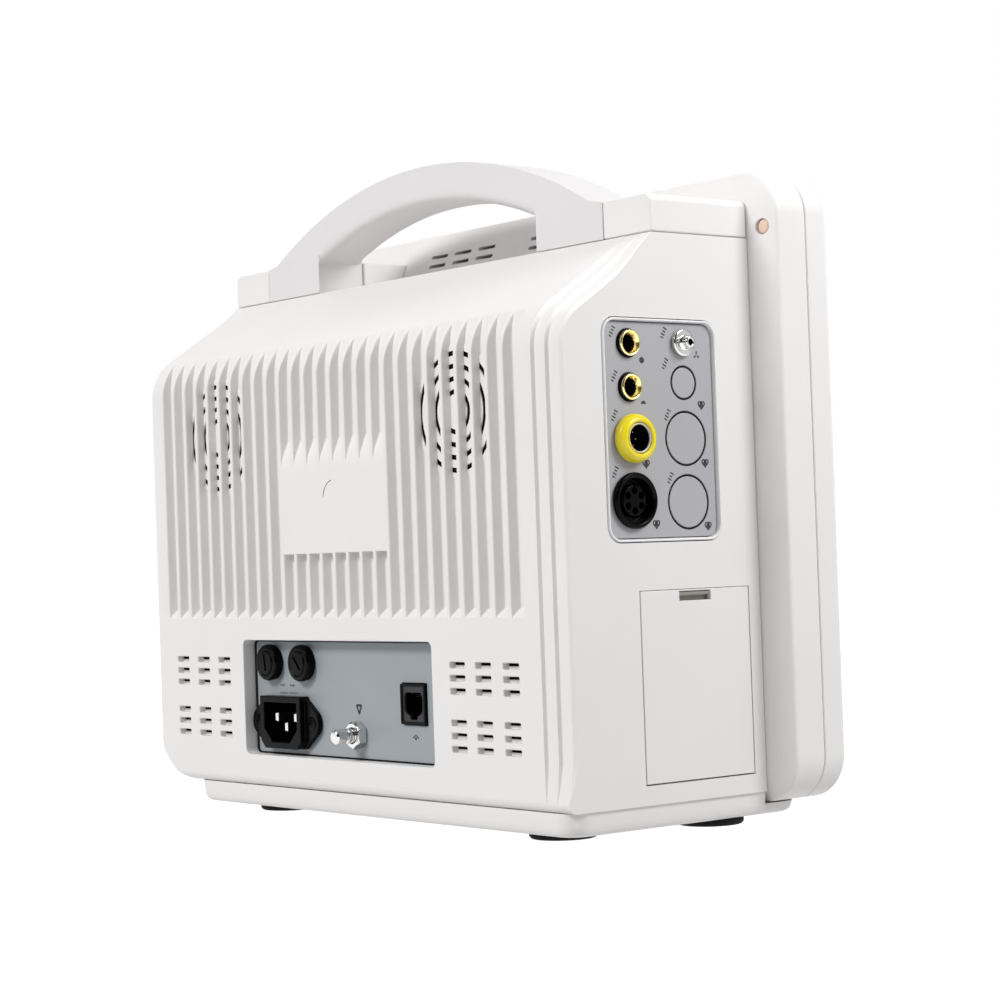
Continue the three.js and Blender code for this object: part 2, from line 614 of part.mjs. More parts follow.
function networkJack() {
  const { x, z, width, height, proud, depth } = NET;
  const body = box(x - width / 2, x + width / 2, BAY_Y - depth, BAY_Y + proud,
    z - height / 2, z + height / 2);
  const port = box(x - 6, x + 6, BAY_Y - depth + 2, BAY_Y + proud + EPS, z - 3.5, z + 4);
  const clip = box(x - 3, x + 3, BAY_Y - depth + 2, BAY_Y + proud + EPS, z - 6.2, z - 3);
  return cut(body, port, clip);
}

function rearPlate() {
  const gap = 0.6;
  const plate = prismY(bayRectangle(-gap), BAY_Y - PLATE_T, BAY_Y);
  const inletHole = box(INLET.x - 14.4, INLET.x + 14.4, BAY_Y - 5, BAY_Y + EPS,
    INLET.z - 10.4, INLET.z + 10.4);
  const screws = [-1, 1].map((s) => screwHole(s).translate([0, -2, 0]));
  const fuseHoles = FUSES.map(({ x }) => turnedRear(disc(6.3, -5, EPS), x, BAY_Y, FUSE_Z));
  const studHole = turnedRear(disc(3.3, -5, EPS), STUD.x, BAY_Y, STUD.z, 16);
  const g = GAP;
  const netHole = box(NET.x - NET.width / 2 - g, NET.x + NET.width / 2 + g, BAY_Y - 5, BAY_Y + EPS,
    NET.z - NET.height / 2 - g, NET.z + NET.height / 2 + g);
  return cut(plate, inletHole, ...screws, ...fuseHoles, studHole, netHole);
}

// ---- sensor panel ----
const PANEL_T = 1.8;

function sensorPlate() {
  const shape = roundedRectangle(PANEL.y0 + GAP, PANEL.y1 - GAP, PANEL.z0 + GAP, PANEL.z1 - GAP,
    PANEL.radius - GAP);
  const plate = prismX(shape, PANEL_X, PANEL_X + PANEL_T);
  const hole = ({ y, z }, radius) => turnedSide(disc(radius, -PANEL_T - EPS, EPS), PANEL_X, y, z, 18);
  return cut(plate, ...TEMP_JACKS.map((at) => hole(at, 5.4)), hole(RING_SOCKET, 8), hole(SIX_WAY_SOCKET, 9.6),
    hole(CUFF_FITTING, 4.6), ...BLANKS.map((at) => hole(at, at.d / 2)));
}

function tempJack({ y, z }) {
  const cup = [[0, -14], [5.2, -14], [5.2, GAP], [5.6, GAP], [5.6, 1.2], [5.4, 1.5], [5, 1.5], [5, -12.5],
    [0, -12.5]];
  return turnedSide(cup, PANEL_X, y, z);
}

function jackBush({ y, z }) {
  const profile = [[3.3, -10], [4.8, -10], [4.8, 1.9], [4.4, 2.2], [3.3, 1.4], [3.3, -10]];
  return turnedSide(profile, PANEL_X, y, z);
}

function ringSocket() {
  const profile = [[5.9, -4], [7.6, -4], [7.6, GAP], [9.2, GAP], [9.2, 2.2], [8.6, 3.9], [7.4, 4.9], [6.4, 5.1],
    [5.9, 4.6], [5.9, -4]];
  return turnedSide(profile, PANEL_X, RING_SOCKET.y, RING_SOCKET.z, 20);
}

function ringCore() {
  const cup = [[0, -13], [5.6, -13], [5.6, 4.3], [5.3, 4.5], [5.0, 4.3], [5.0, -6], [0, -6]];
  const pins = [0, 1, 2, 3, 4, 5].map((i) => {
    const angle = (i * Math.PI) / 3;
    return turned(disc(0.5, -6.5, -2), 6).translate([2.9 * Math.cos(angle), 0, 2.9 * Math.sin(angle)]);
  });
  return joined(turned(cup), ...pins).rotate([0, 0, 90]).translate([PANEL_X, RING_SOCKET.y, RING_SOCKET.z]);
}

function sixWaySocket() {
  const cup = [[0, -14], [9.2, -14], [9.2, GAP], [10.5, GAP], [10.5, 1.8], [9.8, 2.4], [8.3, 2.4], [8.3, -3],
    [0, -3]];
  const core = disc(5.8, -4, 0.8);
  const holes = [0, 1, 2, 3, 4, 5].map((i) => {
    const angle = (i * Math.PI) / 3 + Math.PI / 6;
    return turned(disc(1.3, -2.5, 3), 10).translate([3.8 * Math.cos(angle), 0, 3.8 * Math.sin(angle)]);
  });
  return cut(joined(turned(cup, 20), turned(core)), ...holes)
    .rotate([0, 0, 90]).translate([PANEL_X, SIX_WAY_SOCKET.y, SIX_WAY_SOCKET.z]);
}

function cuffFitting() {
  const profile = [[1.1, -12], [4.3, -12], [4.3, GAP], [5.2, GAP], [5.2, 1.8], [4.8, 2.2], [2.7, 2.2],
    [1.8, 3.1], [1.8, 3.8], [2.3, 4.3], [2.3, 5.3], [2, 5.6], [1.1, 5.6], [1.1, -12]];
  return turnedSide(profile, PANEL_X, CUFF_FITTING.y, CUFF_FITTING.z);
}

function blankDisc({ y, z, d }) {
  const r = d / 2 - 0.8;
  return turnedSide([[0, -PANEL_T], [r, -PANEL_T], [r, -0.3], [r - 0.3, 0], [0, 0]], PANEL_X, y, z, 18);
}

// ---- battery door, latch and battery ----
// Short pins on the axis at the door's foot, one at each end.
function hingePins(radius) {
  const reach = 2;
  return [DOOR.y0 - reach, DOOR.y1 - reach].map((y) => (
    turned(disc(radius, 0, 2 * reach), 10).translate([HINGE.x, y, HINGE.z])));
}

function batteryDoor() {
  const g = 0.35;
  const skin = box(-BODY_X, -BODY_X + DOOR.thick, DOOR.y0 + g, DOOR.y1 - g, DOOR.z0 + 2 * g, DOOR.z1 - g);
  const middle = (DOOR.y0 + DOOR.y1) / 2;
  const halfW = LATCH.width / 2;
  const window = box(-BODY_X - EPS, -BODY_X + DOOR.thick + EPS, middle - halfW, middle + halfW,
    LATCH.z - LATCH.height / 2, LATCH.z + LATCH.height / 2);
  return cut(joined(skin, ...hingePins(HINGE.pin)), window);
}

// A slide behind the door, with a finger ridge standing in the upper part of the door's window.
function batteryLatch() {
  const middle = (DOOR.y0 + DOOR.y1) / 2;
  const halfW = LATCH.width / 2 - GAP;
  const x1 = -BODY_X + DOOR.thick + GAP;
  const top = LATCH.z + LATCH.height / 2 - 0.2;
  const ridge = box(-BODY_X + 0.6, x1 + 1, middle - halfW, middle + halfW, top - LATCH.ridge, top);
  const slide = box(x1, x1 + 1.6, middle - halfW - 3, middle + halfW + 3, LATCH.z - 4, LATCH.z + 2.4);
  return joined(ridge, slide);
}

function batteryPack() {
  const x0 = -BODY_X + 9;
  const shape = roundedRectangle(BATTERY.y0, BATTERY.y1, BATTERY.z0, BATTERY.z1, 5);
  return prismX(shape, x0, x0 + BATTERY.length);
}

function batteryBay() {
  const g = 0.8;
  const x0 = -BODY_X + 2 * WALL;
  const x1 = -BODY_X + 9 + BATTERY.length + 3;
  const outer = box(x0, x1, BATTERY.y0 - 2.5, BATTERY.y1 + 2.5, BATTERY.z0 - 2.5, BATTERY.z1 + 2.5);
  const inner = box(x0 - EPS, x1 - 2, BATTERY.y0 - g, BATTERY.y1 + g, BATTERY.z0 - g, BATTERY.z1 + g);
  return cut(outer, inner);
}

// ---- base ----
function basePlinth() {
  const outline = (inset, z) => {
    const { x0, x1, y0, y1, radius } = PLINTH;
    const turn = Math.PI / 2;
    const r = radius - inset / 2;
    return [
      ...arc(x1 - inset - r, y0 + inset + r, r, -turn, 0, 4),
      ...arc(x1 - inset - r, y1 - inset - r, r, 0, turn, 4),
      ...arc(x0 + inset + r, y1 - inset - r, r, turn, 2 * turn, 4),
      ...arc(x0 + inset + r, y0 + inset + r, r, 2 * turn, 3 * turn, 4),
    ].map(([x, y]) => [x, y, z]);
  };
  const top = BODY_Z0 - GAP;
  const z0 = PLINTH.z0;
  const blank = loft([outline(2.6, z0), outline(1.2, z0 + 1), outline(0.6, z0 + 3), outline(0, top)]);
  const hollow = box(PLINTH.x0 + 10, PLINTH.x1 - 8, PLINTH.y0 + 18, PLINTH.y1 - 8, z0 + 2.4, top + EPS);
  const underBezel = box(-BEZEL_X, BEZEL_X, -80, FLARE_Y - GAP + 0.3, BEZEL_Z0 - GAP, BODY_Z0 + EPS);
  return cut(blank, hollow, underBezel);
}

function foot([x, y]) {
  const profile = [[0, 0], [FOOT_R - 0.8, 0], [FOOT_R, 0.8], [FOOT_R, PLINTH.z0 - GAP], [0, PLINTH.z0 - GAP]];
  return turned(profile).rotate([90, 0, 0]).translate([x, y, 0]);
}

// ---- front: glass, screen, keys, knob, lamp ----
function displayGlass() {
  return prismY(windowShape(-GAP), FRONT_Y + 1, FRONT_Y + WALL);
}

function displayModule() {
  const y0 = FRONT_Y + WALL + GAP;
  return box(WINDOW.x - SCREEN.width / 2 - 6, WINDOW.x + SCREEN.width / 2 + 4, y0, y0 + SCREEN.thick,
    WINDOW.z - SCREEN.height / 2 - 7, WINDOW.z + SCREEN.height / 2 + 7);
}

function frontKey(i) {
  const cap = prismY(keyShape(i, 0), FRONT_Y - KEY.proud, FRONT_Y + WALL + 1);
  const lip = prismY(keyShape(i, 1.5), FRONT_Y + WALL + GAP, FRONT_Y + WALL + 1.6, 1);
  return joined(cap, lip);
}

function knobShaft() {
  const profile = [[0, -9], [2.8, -9], [2.8, 6], [0, 6]];
  return turned(profile, 16).translate([KEY_X, FRONT_Y, KNOB.z]);
}

function rotaryKnob() {
  const { radius, length, gap } = KNOB;
  const back = -gap;
  const front = -gap - length + 0.2;
  const profile = [[3.1, back], [radius, back], [radius - 0.6, front + 2.4], [radius - 2.4, front],
    [0, front], [0, -10], [3.1, -10], [3.1, back]];
  const grips = Array.from({ length: 12 }, (_, i) => {
    const angle = (i * Math.PI) / 6;
    return turned(disc(1.3, front - EPS, back + EPS), 8)
      .translate([(radius + 0.3) * Math.cos(angle), 0, (radius + 0.3) * Math.sin(angle)]);
  });
  return cut(turned(profile, 24), ...grips).translate([KEY_X, FRONT_Y, KNOB.z]);
}

function encoderBody() {
  const blank = box(KEY_X - 7, KEY_X + 7, FRONT_Y + WALL + 3, FRONT_Y + WALL + 12, KNOB.z - 7, KNOB.z + 7);
  return cut(blank, turned(disc(3.2, -EPS, 9)).translate([KEY_X, FRONT_Y, KNOB.z]));
}

// ---- inside ----
function chassis() {
  const y = -43;
  const upright = box(-132, 132, y, y + 1.5, 18, 218);
  const shelf = box(-30, 106, y, 40, 18.3, 20.3);
  return joined(upright, shelf);
}

function mainBoard() {
  const y = -38;
  const card = box(-120, 50, y, y + 1.6, 95, 212);
  const chips = [[-90, 150, 28, 8], [-30, 170, 34, 6], [10, 120, 22, 10], [-60, 110, 30, 5]];
  return joined(card, ...chips.map(([x, z, size, tall]) => {
    const half = size / 2;
    return box(x - half, x + half, y + 1, y + 1.6 + tall, z - half + 4, z + half - 4);
  }));
}

function powerSupply() {
  const card = box(-20, 100, -22, 30, 20.6, 23);
  const parts = [[-5, 0, 11, 26], [30, 4, 15, 30], [70, -2, 12, 22], [88, 14, 8, 34]];
  const tall = parts.map(([x, y, r, h]) => box(x - r, x + r, y - r, y + r, 22, 23 + h));
  return joined(card, ...tall);
}

function cuffPump() {
  const motor = turned(disc(13.5, -32, 20), 20);
  const head = turned(disc(11, 19, 34), 12);
  return joined(motor, head).translate([-96, 8, 184]);
}

function speaker(x) {
  const y = REAR_Y - REAR_WALL - 2;
  const profile = [[0, -16], [11, -16], [11, -9], [22, -3], [24, -3], [24, 0], [20, 0], [8, -6], [0, -6]];
  return turned(profile, 16).translate([x, y, GRILLE_Z]);
}

// ---- assembly ----
add('rear_cover', rearCover(), white);
add('top_cover', topCover(), white);
add('carry_handle', handle(), white);
add('bezel_ring', bezelRing(), white);
add('front_bezel', frontBezel(), white);
add('bezel_hole_plug', holePlug(), peach);
add('base_plinth', basePlinth(), white);
for (const [name, at] of Object.entries(FEET)) add(`foot_${name}`, foot(at), rubber);

add('rear_plate', rearPlate(), plateGrey);
add('mains_inlet', mainsInlet(), black);
for (const [name, at] of Object.entries(INLET_PINS)) add(`inlet_pin_${name}`, inletPin(at, 0), chrome);
for (const fuse of FUSES) {
  add(`fuse_holder_${fuse.name}`, fuseHolder(fuse), black);
  add(`fuse_cap_${fuse.name}`, fuseCap(fuse), black);
  add(`fuse_link_${fuse.name}`, fuseLink(fuse), glass);
}
add('earth_stud', studBody(), chrome);
add('earth_stud_nut', studNut(), chrome);
add('network_jack', networkJack(), black);

add('sensor_plate', sensorPlate(), panelGrey);
TEMP_JACKS.forEach((at, i) => {
  add(`temperature_jack_${i + 1}`, tempJack(at), black);
  add(`temperature_bush_${i + 1}`, jackBush(at), gold);
});
add('ring_socket', ringSocket(), yellow);
add('ring_socket_core', ringCore(), black);
add('six_way_socket', sixWaySocket(), black);
add('cuff_fitting', cuffFitting(), chrome);
BLANKS.forEach((at, i) => add(`blank_disc_${i + 1}`, blankDisc(at), panelGrey));

add('battery_door', batteryDoor(), white);
add('battery_latch', batteryLatch(), latchGrey);
add('battery_pack', batteryPack(), black);
add('battery_bay', batteryBay(), panelGrey);

add('display_glass', displayGlass(), glass);
add('display_module', displayModule(), sheet);
KEYS.forEach((name, i) => add(`key_${name}`, frontKey(i), keyGrey));
add('knob_shaft', knobShaft(), sheet);
add('rotary_knob', rotaryKnob(), keyGrey);
add('encoder_body', encoderBody(), sheet);
add('alarm_lamp', prismY(lampShape(0), FRONT_Y - 0.6, FRONT_Y + WALL), amber);

add('chassis', chassis(), sheet);
add('main_board', mainBoard(), board);
add('power_supply', powerSupply(), copper);
add('cuff_pump', cuffPump(), sheet);
add('speaker_right', speaker(GRILLE_X[0]), black);
add('speaker_left', speaker(GRILLE_X[1]), black);

export default monitor;
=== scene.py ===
"""A bedside patient monitor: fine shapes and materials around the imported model.

Shapes are written in millimetres in the model's own frame, and scaled to metres as each mesh is made.
The finned rear is +Y, the sensor sockets are on the -X side and the screen faces -Y.
"""
import json
import math

import bmesh
import bpy
from mathutils import Matrix, Vector

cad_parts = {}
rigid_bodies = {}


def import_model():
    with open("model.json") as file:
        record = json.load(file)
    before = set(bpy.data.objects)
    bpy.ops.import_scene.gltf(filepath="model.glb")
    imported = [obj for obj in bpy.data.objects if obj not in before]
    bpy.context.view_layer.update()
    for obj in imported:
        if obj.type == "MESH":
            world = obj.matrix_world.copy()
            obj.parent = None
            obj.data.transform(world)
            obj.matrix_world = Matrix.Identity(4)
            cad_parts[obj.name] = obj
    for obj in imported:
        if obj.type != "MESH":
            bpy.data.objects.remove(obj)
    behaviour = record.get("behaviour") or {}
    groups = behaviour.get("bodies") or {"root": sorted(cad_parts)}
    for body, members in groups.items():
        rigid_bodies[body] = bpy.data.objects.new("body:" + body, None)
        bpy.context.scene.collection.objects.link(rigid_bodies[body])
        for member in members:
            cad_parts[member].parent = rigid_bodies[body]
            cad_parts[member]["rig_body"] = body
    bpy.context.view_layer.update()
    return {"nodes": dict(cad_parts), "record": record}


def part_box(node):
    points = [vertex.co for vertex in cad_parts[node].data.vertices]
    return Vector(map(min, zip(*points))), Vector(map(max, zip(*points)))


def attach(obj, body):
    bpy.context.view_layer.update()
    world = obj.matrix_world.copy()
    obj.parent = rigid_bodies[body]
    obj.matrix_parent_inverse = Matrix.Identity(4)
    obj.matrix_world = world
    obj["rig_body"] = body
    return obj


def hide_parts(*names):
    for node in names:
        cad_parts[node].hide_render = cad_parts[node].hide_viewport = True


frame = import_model()

MM = 0.001
GAP = 0.3


def low(node):
    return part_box(node)[0] / MM


def high(node):
    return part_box(node)[1] / MM


def middle(node):
    return (low(node) + high(node)) / 2


# ---------------------------------------------------------------- materials
MATERIALS = {}


def srgb(red, green, blue):
    """A colour given as 0 to 255, in the linear numbers that a shader takes."""
    def linear(value):
        part = value / 255
        return part / 12.92 if part <= 0.04045 else ((part + 0.055) / 1.055) ** 2.4
    return tuple(linear(value) for value in (red, green, blue))


def set_inputs(node, values):
    """Sets a node's inputs by name, with _ for each space in a name."""
    for socket, value in values.items():
        node.inputs[socket.replace("_", " ")].default_value = value


def add_node(tree, kind, **inputs):
    made = tree.nodes.new(f"ShaderNode{kind}")
    set_inputs(made, inputs)
    return made


def material(name, colour, roughness, metallic=0.0, grain=2400, grain_depth=0.03, mottle=0.03, **sockets):
    """A principled surface with moulded grain, faint patches of colour and uneven gloss.

    colour is in 0 to 255, grain is how many lumps there are in a metre, grain_depth is in millimetres and
    mottle says how much darker the darkest patches are.
    """
    made = bpy.data.materials.new(name)
    made.use_nodes = True
    tree = made.node_tree
    link = tree.links.new
    colour = srgb(*colour)
    shader = tree.nodes["Principled BSDF"]
    set_inputs(shader, {"Metallic": metallic, **sockets})
    where = add_node(tree, "TexCoord").outputs["Object"]

    patches = add_node(tree, "TexNoise", Scale=26, Detail=4)
    link(where, patches.inputs["Vector"])
    tint = add_node(tree, "ValToRGB")
    darkest, lightest = tint.color_ramp.elements
    darkest.position, lightest.position = 0.3, 0.7
    darkest.color = (*(part * (1 - mottle) for part in colour), 1)
    lightest.color = (*colour, 1)
    link(patches.outputs["Fac"], tint.inputs["Fac"])
    link(tint.outputs["Color"], shader.inputs["Base Color"])

    gloss = add_node(tree, "MapRange", To_Min=roughness * 0.88, To_Max=min(1, roughness * 1.12))
    link(patches.outputs["Fac"], gloss.inputs["Value"])
    link(gloss.outputs["Result"], shader.inputs["Roughness"])

    lumps = add_node(tree, "TexNoise", Scale=grain, Detail=2)
    link(where, lumps.inputs["Vector"])
    bump = add_node(tree, "Bump", Strength=0.5, Distance=grain_depth * MM)
    link(lumps.outputs["Fac"], bump.inputs["Height"])
    link(bump.outputs["Normal"], shader.inputs["Normal"])
    MATERIALS[name] = made
    return made


def brushed(name, colour, roughness):
    """Metal with fine drawn lines along X."""
    made = material(name, colour, roughness, metallic=1.0, grain_depth=0.01)
    tree = made.node_tree
    stretch = add_node(tree, "Mapping", Scale=(0.03, 1, 1))
    lumps = next(n for n in tree.nodes if n.type == "TEX_NOISE" and n.inputs["Scale"].default_value > 1000)
    tree.links.new(tree.nodes["Texture Coordinate"].outputs["Object"], stretch.inputs["Vector"])
    tree.links.new(stretch.outputs["Vector"], lumps.inputs["Vector"])


material("case_white", (231, 229, 228), 0.42, grain=3200, grain_depth=0.035, mottle=0.02)
# A darker copy of case_white: painted shade for the carry handle, which is the same white plastic.
material("handle_shaded_white", (220, 218, 218), 0.42, grain=3200, grain_depth=0.035, mottle=0.02)
# A lighter copy of case_white: painted highlight for the raised rim round the sensor plate.
material("rim_highlight_white", (242, 242, 242), 0.35, mottle=0.02)
material("plug_peach", (226, 196, 176), 0.5)
# Black rubber for the feet, also used as painted shade in the gaps round the bay plate and the blank discs.
material("foot_rubber", (20, 20, 21), 0.8, grain=1500, grain_depth=0.08, mottle=0.3, Specular_IOR_Level=0.2)
material("plate_grey", (150, 157, 162), 0.38, grain=3600, grain_depth=0.02, mottle=0.06)
material("black_plastic", (7, 7, 8), 0.24, grain=2600, grain_depth=0.02, mottle=0.2, Specular_IOR_Level=0.07)
material("plated_metal", (214, 214, 212), 0.14, metallic=1.0, grain_depth=0.006)
material("fuse_glass", (214, 218, 220), 0.05, Transmission_Weight=0.9, IOR=1.5)
material("panel_grey", (172, 172, 176), 0.45, grain=3600, grain_depth=0.02, mottle=0.03)
material("gold_plate", (250, 234, 168), 0.22, metallic=1.0, grain_depth=0.006)
material("socket_yellow", (242, 222, 22), 0.26, grain_depth=0.01, mottle=0.04)
material("latch_grey", (143, 141, 134), 0.5)
material("screen_glass", (18, 20, 23), 0.08, grain_depth=0.002, mottle=0.1, Coat_Weight=0.6,
         Coat_Roughness=0.03)
brushed("sheet_metal", (176, 178, 180), 0.36)
material("key_grey", (188, 193, 198), 0.5, grain=2800, grain_depth=0.03)
material("lamp_amber", (224, 142, 48), 0.22, Subsurface_Weight=0.2, grain_depth=0.01)
material("circuit_board", (28, 88, 52), 0.35, grain=900, grain_depth=0.06, mottle=0.35)
# A black sheet behind the vents and speaker slots: painted shade, so the openings read dark.
material("shade_black_sheet", (14, 14, 15), 0.9, grain=900, grain_depth=0.2, mottle=0.4, Specular_IOR_Level=0.1)
material("print_dark", (42, 44, 48), 0.6, mottle=0.1)
material("print_blue", (58, 76, 98), 0.6, mottle=0.1)
material("socket_grey", (44, 45, 48), 0.4, mottle=0.1, Specular_IOR_Level=0.3)
material("socket_ivory", (226, 222, 206), 0.35)


# ---------------------------------------------------------------- outlines
def arc(centre, radius, start, end, steps):
    """Points on a circle, from one angle in degrees to another."""
    angles = [math.radians(start + (end - start) * i / steps) for i in range(steps + 1)]
    return [(centre[0] + radius * math.cos(a), centre[1] + radius * math.sin(a)) for a in angles]


def rounded_rectangle(a0, a1, b0, b1, radius, steps=8):
    return (arc((a1 - radius, b0 + radius), radius, -90, 0, steps)
            + arc((a1 - radius, b1 - radius), radius, 0, 90, steps)
            + arc((a0 + radius, b1 - radius), radius, 90, 180, steps)
            + arc((a0 + radius, b0 + radius), radius, 180, 270, steps))


def filleted(points, radius, closed=False, steps=4):
    """The same line with each corner rounded off; a corner between short sides gets a smaller radius."""
    points = [Vector(p) for p in points]
    count = len(points)
    made = []
    for i, corner in enumerate(points):
        if not closed and i in (0, count - 1):
            made.append(corner)
            continue
        before, after = points[i - 1], points[(i + 1) % count]
        back, on = before - corner, after - corner
        reach = min(radius, 0.45 * back.length, 0.45 * on.length)
        start, end = corner + back.normalized() * reach, corner + on.normalized() * reach
        for step in range(steps + 1):
            t = step / steps
            made.append((1 - t) ** 2 * start + 2 * t * (1 - t) * corner + t * t * end)
    return [tuple(p) for p in made]


# ---------------------------------------------------------------- solids, as bmesh in millimetres
AXES = {
    "up": Matrix.Identity(3),
    "rear": Matrix(((1, 0, 0), (0, 0, 1), (0, 1, 0))),
    "side": Matrix(((0, 0, -1), (1, 0, 0), (0, 1, 0))),
    "front": Matrix(((1, 0, 0), (0, 0, -1), (0, 1, 0))),
}


def mesh_from(bm, name):
    mesh = bpy.data.meshes.new(name)
    bm.to_mesh(mesh)
    bm.free()
    return mesh


def linked(name, data):
    """A new object in the scene, for a mesh, a light or a camera."""
    obj = bpy.data.objects.new(name, data)
    bpy.context.scene.collection.objects.link(obj)
    return obj


def place(bm, towards, centre):
    """Turns a shape built along +Z so that it stands towards a side of the monitor, at a point."""
    bmesh.ops.transform(bm, matrix=Matrix.Translation(centre) @ AXES[towards].to_4x4(), verts=bm.verts)
    return outward(bm)


def loft(outlines, closed_loop=False):
    """A closed skin through outlines, each a list of the same number of 3-D points."""
    bm = bmesh.new()
    rings = [[bm.verts.new(p) for p in outline] for outline in outlines]
    pairs = list(zip(rings, rings[1:] + rings[:1]))
    for one, other in pairs if closed_loop else pairs[:-1]:
        for i in range(len(one)):
            j = (i + 1) % len(one)
            bm.faces.new((one[i], one[j], other[j], other[i]))
    if not closed_loop:
        bm.faces.new(rings[0])
        bm.faces.new(rings[-1])
    return outward(bm)


def outward(bm):
    bmesh.ops.recalc_face_normals(bm, faces=bm.faces)
    if bm.calc_volume(signed=True) < 0:
        bmesh.ops.reverse_faces(bm, faces=bm.faces)
    return bm


def prism(outline, h0, h1):
    """An outline in (a, b), swept from height h0 to h1 along +Z."""
    return loft([[(a, b, h) for a, b in outline] for h in (h0, h1)])


def soft_prism(outline, h0, h1, edge, shrink, steps=3):
    """A prism whose far rim is rounded over: shrink(outline, inset) gives the outline moved inwards."""
    layers = [(outline, h0)]
    for step in range(steps + 1):
        angle = math.radians(90 * step / steps)
        layers.append((shrink(edge * (1 - math.cos(angle))), h1 - edge + edge * math.sin(angle)))
    return loft([[(a, b, h) for a, b in points] for points, h in layers])


def prism_x(outline, x0, x1):
    """An outline in (y, z), swept along X."""
    return loft([[(x, a, b) for a, b in outline] for x in (x0, x1)])


def prism_y(outline, y0, y1):
    """An outline in (x, z), swept along Y."""
    return loft([[(a, y, b) for a, b in outline] for y in (y0, y1)])


def block(x0, x1, y0, y1, z0, z1):
    return prism([(x0, y0), (x1, y0), (x1, y1), (x0, y1)], z0, z1)


def turned(profile, segments=96, ripple=None):
    """(radius, height) points turned about +Z. ripple(angle, radius, height) can change a radius."""
    bm = bmesh.new()
    rings = []
    for radius, height in profile:
        if radius < 1e-6:
            rings.append([bm.verts.new((0, 0, height))])
            continue
        ring = []
        for i in range(segments):
            angle = 2 * math.pi * i / segments
            r = ripple(angle, radius, height) if ripple else radius
            ring.append(bm.verts.new((r * math.cos(angle), r * math.sin(angle), height)))
        rings.append(ring)
    closed = len(rings[0]) > 1 and len(rings[-1]) > 1
    pairs = list(zip(rings, rings[1:] + rings[:1]))
    for one, other in pairs if closed else pairs[:-1]:
        for i in range(segments):
            j = (i + 1) % segments
            corners = [one[i % len(one)], one[j % len(one)], other[j % len(other)], other[i % len(other)]]
            unique = list(dict.fromkeys(corners))
            if len(unique) > 2:
                bm.faces.new(unique)
    return outward(bm)


def disc(radius, h0, h1, segments=48):
    return turned([(0, h0), (radius, h0), (radius, h1), (0, h1)], segments)


def merged(*shapes):
    """Several shapes in one mesh, without joining their surfaces."""
    bm = bmesh.new()
    for shape in shapes:
        mesh = mesh_from(shape, "part")
        bm.from_mesh(mesh)
        bpy.data.meshes.remove(mesh)
    return bm


def boolean(base, tools, operation="DIFFERENCE"):
    """base with the tools cut out of it, added to it or kept in common with it."""
    first, *others = (linked("scratch", mesh_from(shape, "scratch")) for shape in (base, *tools))
    for other in others:
        step = first.modifiers.new("cut", "BOOLEAN")
        step.operation = operation
        step.solver = "MANIFOLD"
        step.object = other
    bpy.context.view_layer.update()
    evaluated = first.evaluated_get(bpy.context.evaluated_depsgraph_get())
    bm = bmesh.new()
    bm.from_mesh(evaluated.to_mesh())
    evaluated.to_mesh_clear()
    for obj in [first, *others]:
        mesh = obj.data
        bpy.data.objects.remove(obj)
        bpy.data.meshes.remove(mesh)
    bmesh.ops.remove_doubles(bm, verts=bm.verts, dist=1e-4)
    bmesh.ops.dissolve_degenerate(bm, edges=bm.edges, dist=1e-4)
    return bm


def bevelled(bm, width, segments=3, angle=28, within=None):
    """Rounds every edge sharper than an angle in degrees; within(edge) can leave some out."""
    sharp = [e for e in bm.edges if len(e.link_faces) == 2 and e.calc_face_angle(0) > math.radians(angle)]
    if within:
        sharp = [e for e in sharp if within(e)]
    bmesh.ops.bevel(bm, geom=sharp, offset=width, offset_type="OFFSET", segments=segments, profile=0.5,
                    affect="EDGES", clamp_overlap=False, loop_slide=True)
    return bm


def from_node(node):
    """A CAD node's shape in millimetres, with its flat faces made whole again."""
    bm = bmesh.new()
    bm.from_mesh(frame["nodes"][node].data)
    bmesh.ops.scale(bm, vec=(1 / MM,) * 3, verts=bm.verts)
    bmesh.ops.remove_doubles(bm, verts=bm.verts, dist=0.002)
    bmesh.ops.dissolve_limit(bm, angle_limit=math.radians(1), verts=bm.verts, edges=bm.edges)
    return outward(bm)


def piece(name, bm, slot, body="housing", replaces=(), finish=None, sharp=38):
    """Turns a shape into a piece that rides on a body and takes its finish from a slot."""
    bmesh.ops.scale(bm, vec=(MM,) * 3, verts=bm.verts)
    for face in bm.faces:
        face.smooth = True
    for edge in bm.edges:
        edge.smooth = len(edge.link_faces) == 2 and edge.calc_face_angle(0) < math.radians(sharp)
    mesh = mesh_from(bm, name)
    mesh.materials.append(MATERIALS[finish or slot])
    obj = linked(name, mesh)
    weighted = obj.modifiers.new("weighted", "WEIGHTED_NORMAL")
    weighted.keep_sharp = True
    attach(obj, body)
    if replaces:
        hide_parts(*replaces)
    return obj


def body_of(node):
    return frame["nodes"][node]["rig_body"]


def softened(node, width, slot, segments=3):
    """A CAD node's own shape with rounded edges."""
    shape = bevelled(from_node(node), width, segments)
    return piece(f"{node}_shell", shape, slot, body_of(node), [node])


# ---------------------------------------------------------------- rear cover
SIDE_X = high("rear_cover").x
REAR_Y = high("rear_cover").y
FLARE_Y = low("rear_cover").y
FOOT_Z = low("rear_cover").z
TOP_Z = high("rear_cover").z
TOP_EDGE_Y = high("top_cover").y
SLOPE = math.radians(33.1)
SHOULDER_R = 20
WALL = 3
REAR_WALL = 6.6
FAR_CORNER_R = 30
FAR_EDGE_R = 6

GROOVE_PITCH = 9.39
GROOVE_X0 = 4.2
GROOVES_EACH_SIDE = 13
GROOVE_HALF = 3.5
GROOVE_DEPTH = 4.2
GROOVE_Z0 = 83
GROOVE_RAMP = 3.6
GROOVE_ARC_Z = 183
GROOVE_ARC_R = 40
LABEL_GROOVES = range(-4, 4)
LABEL_Z0, LABEL_Z1, LABEL_FADE = 109.5, 145, 15
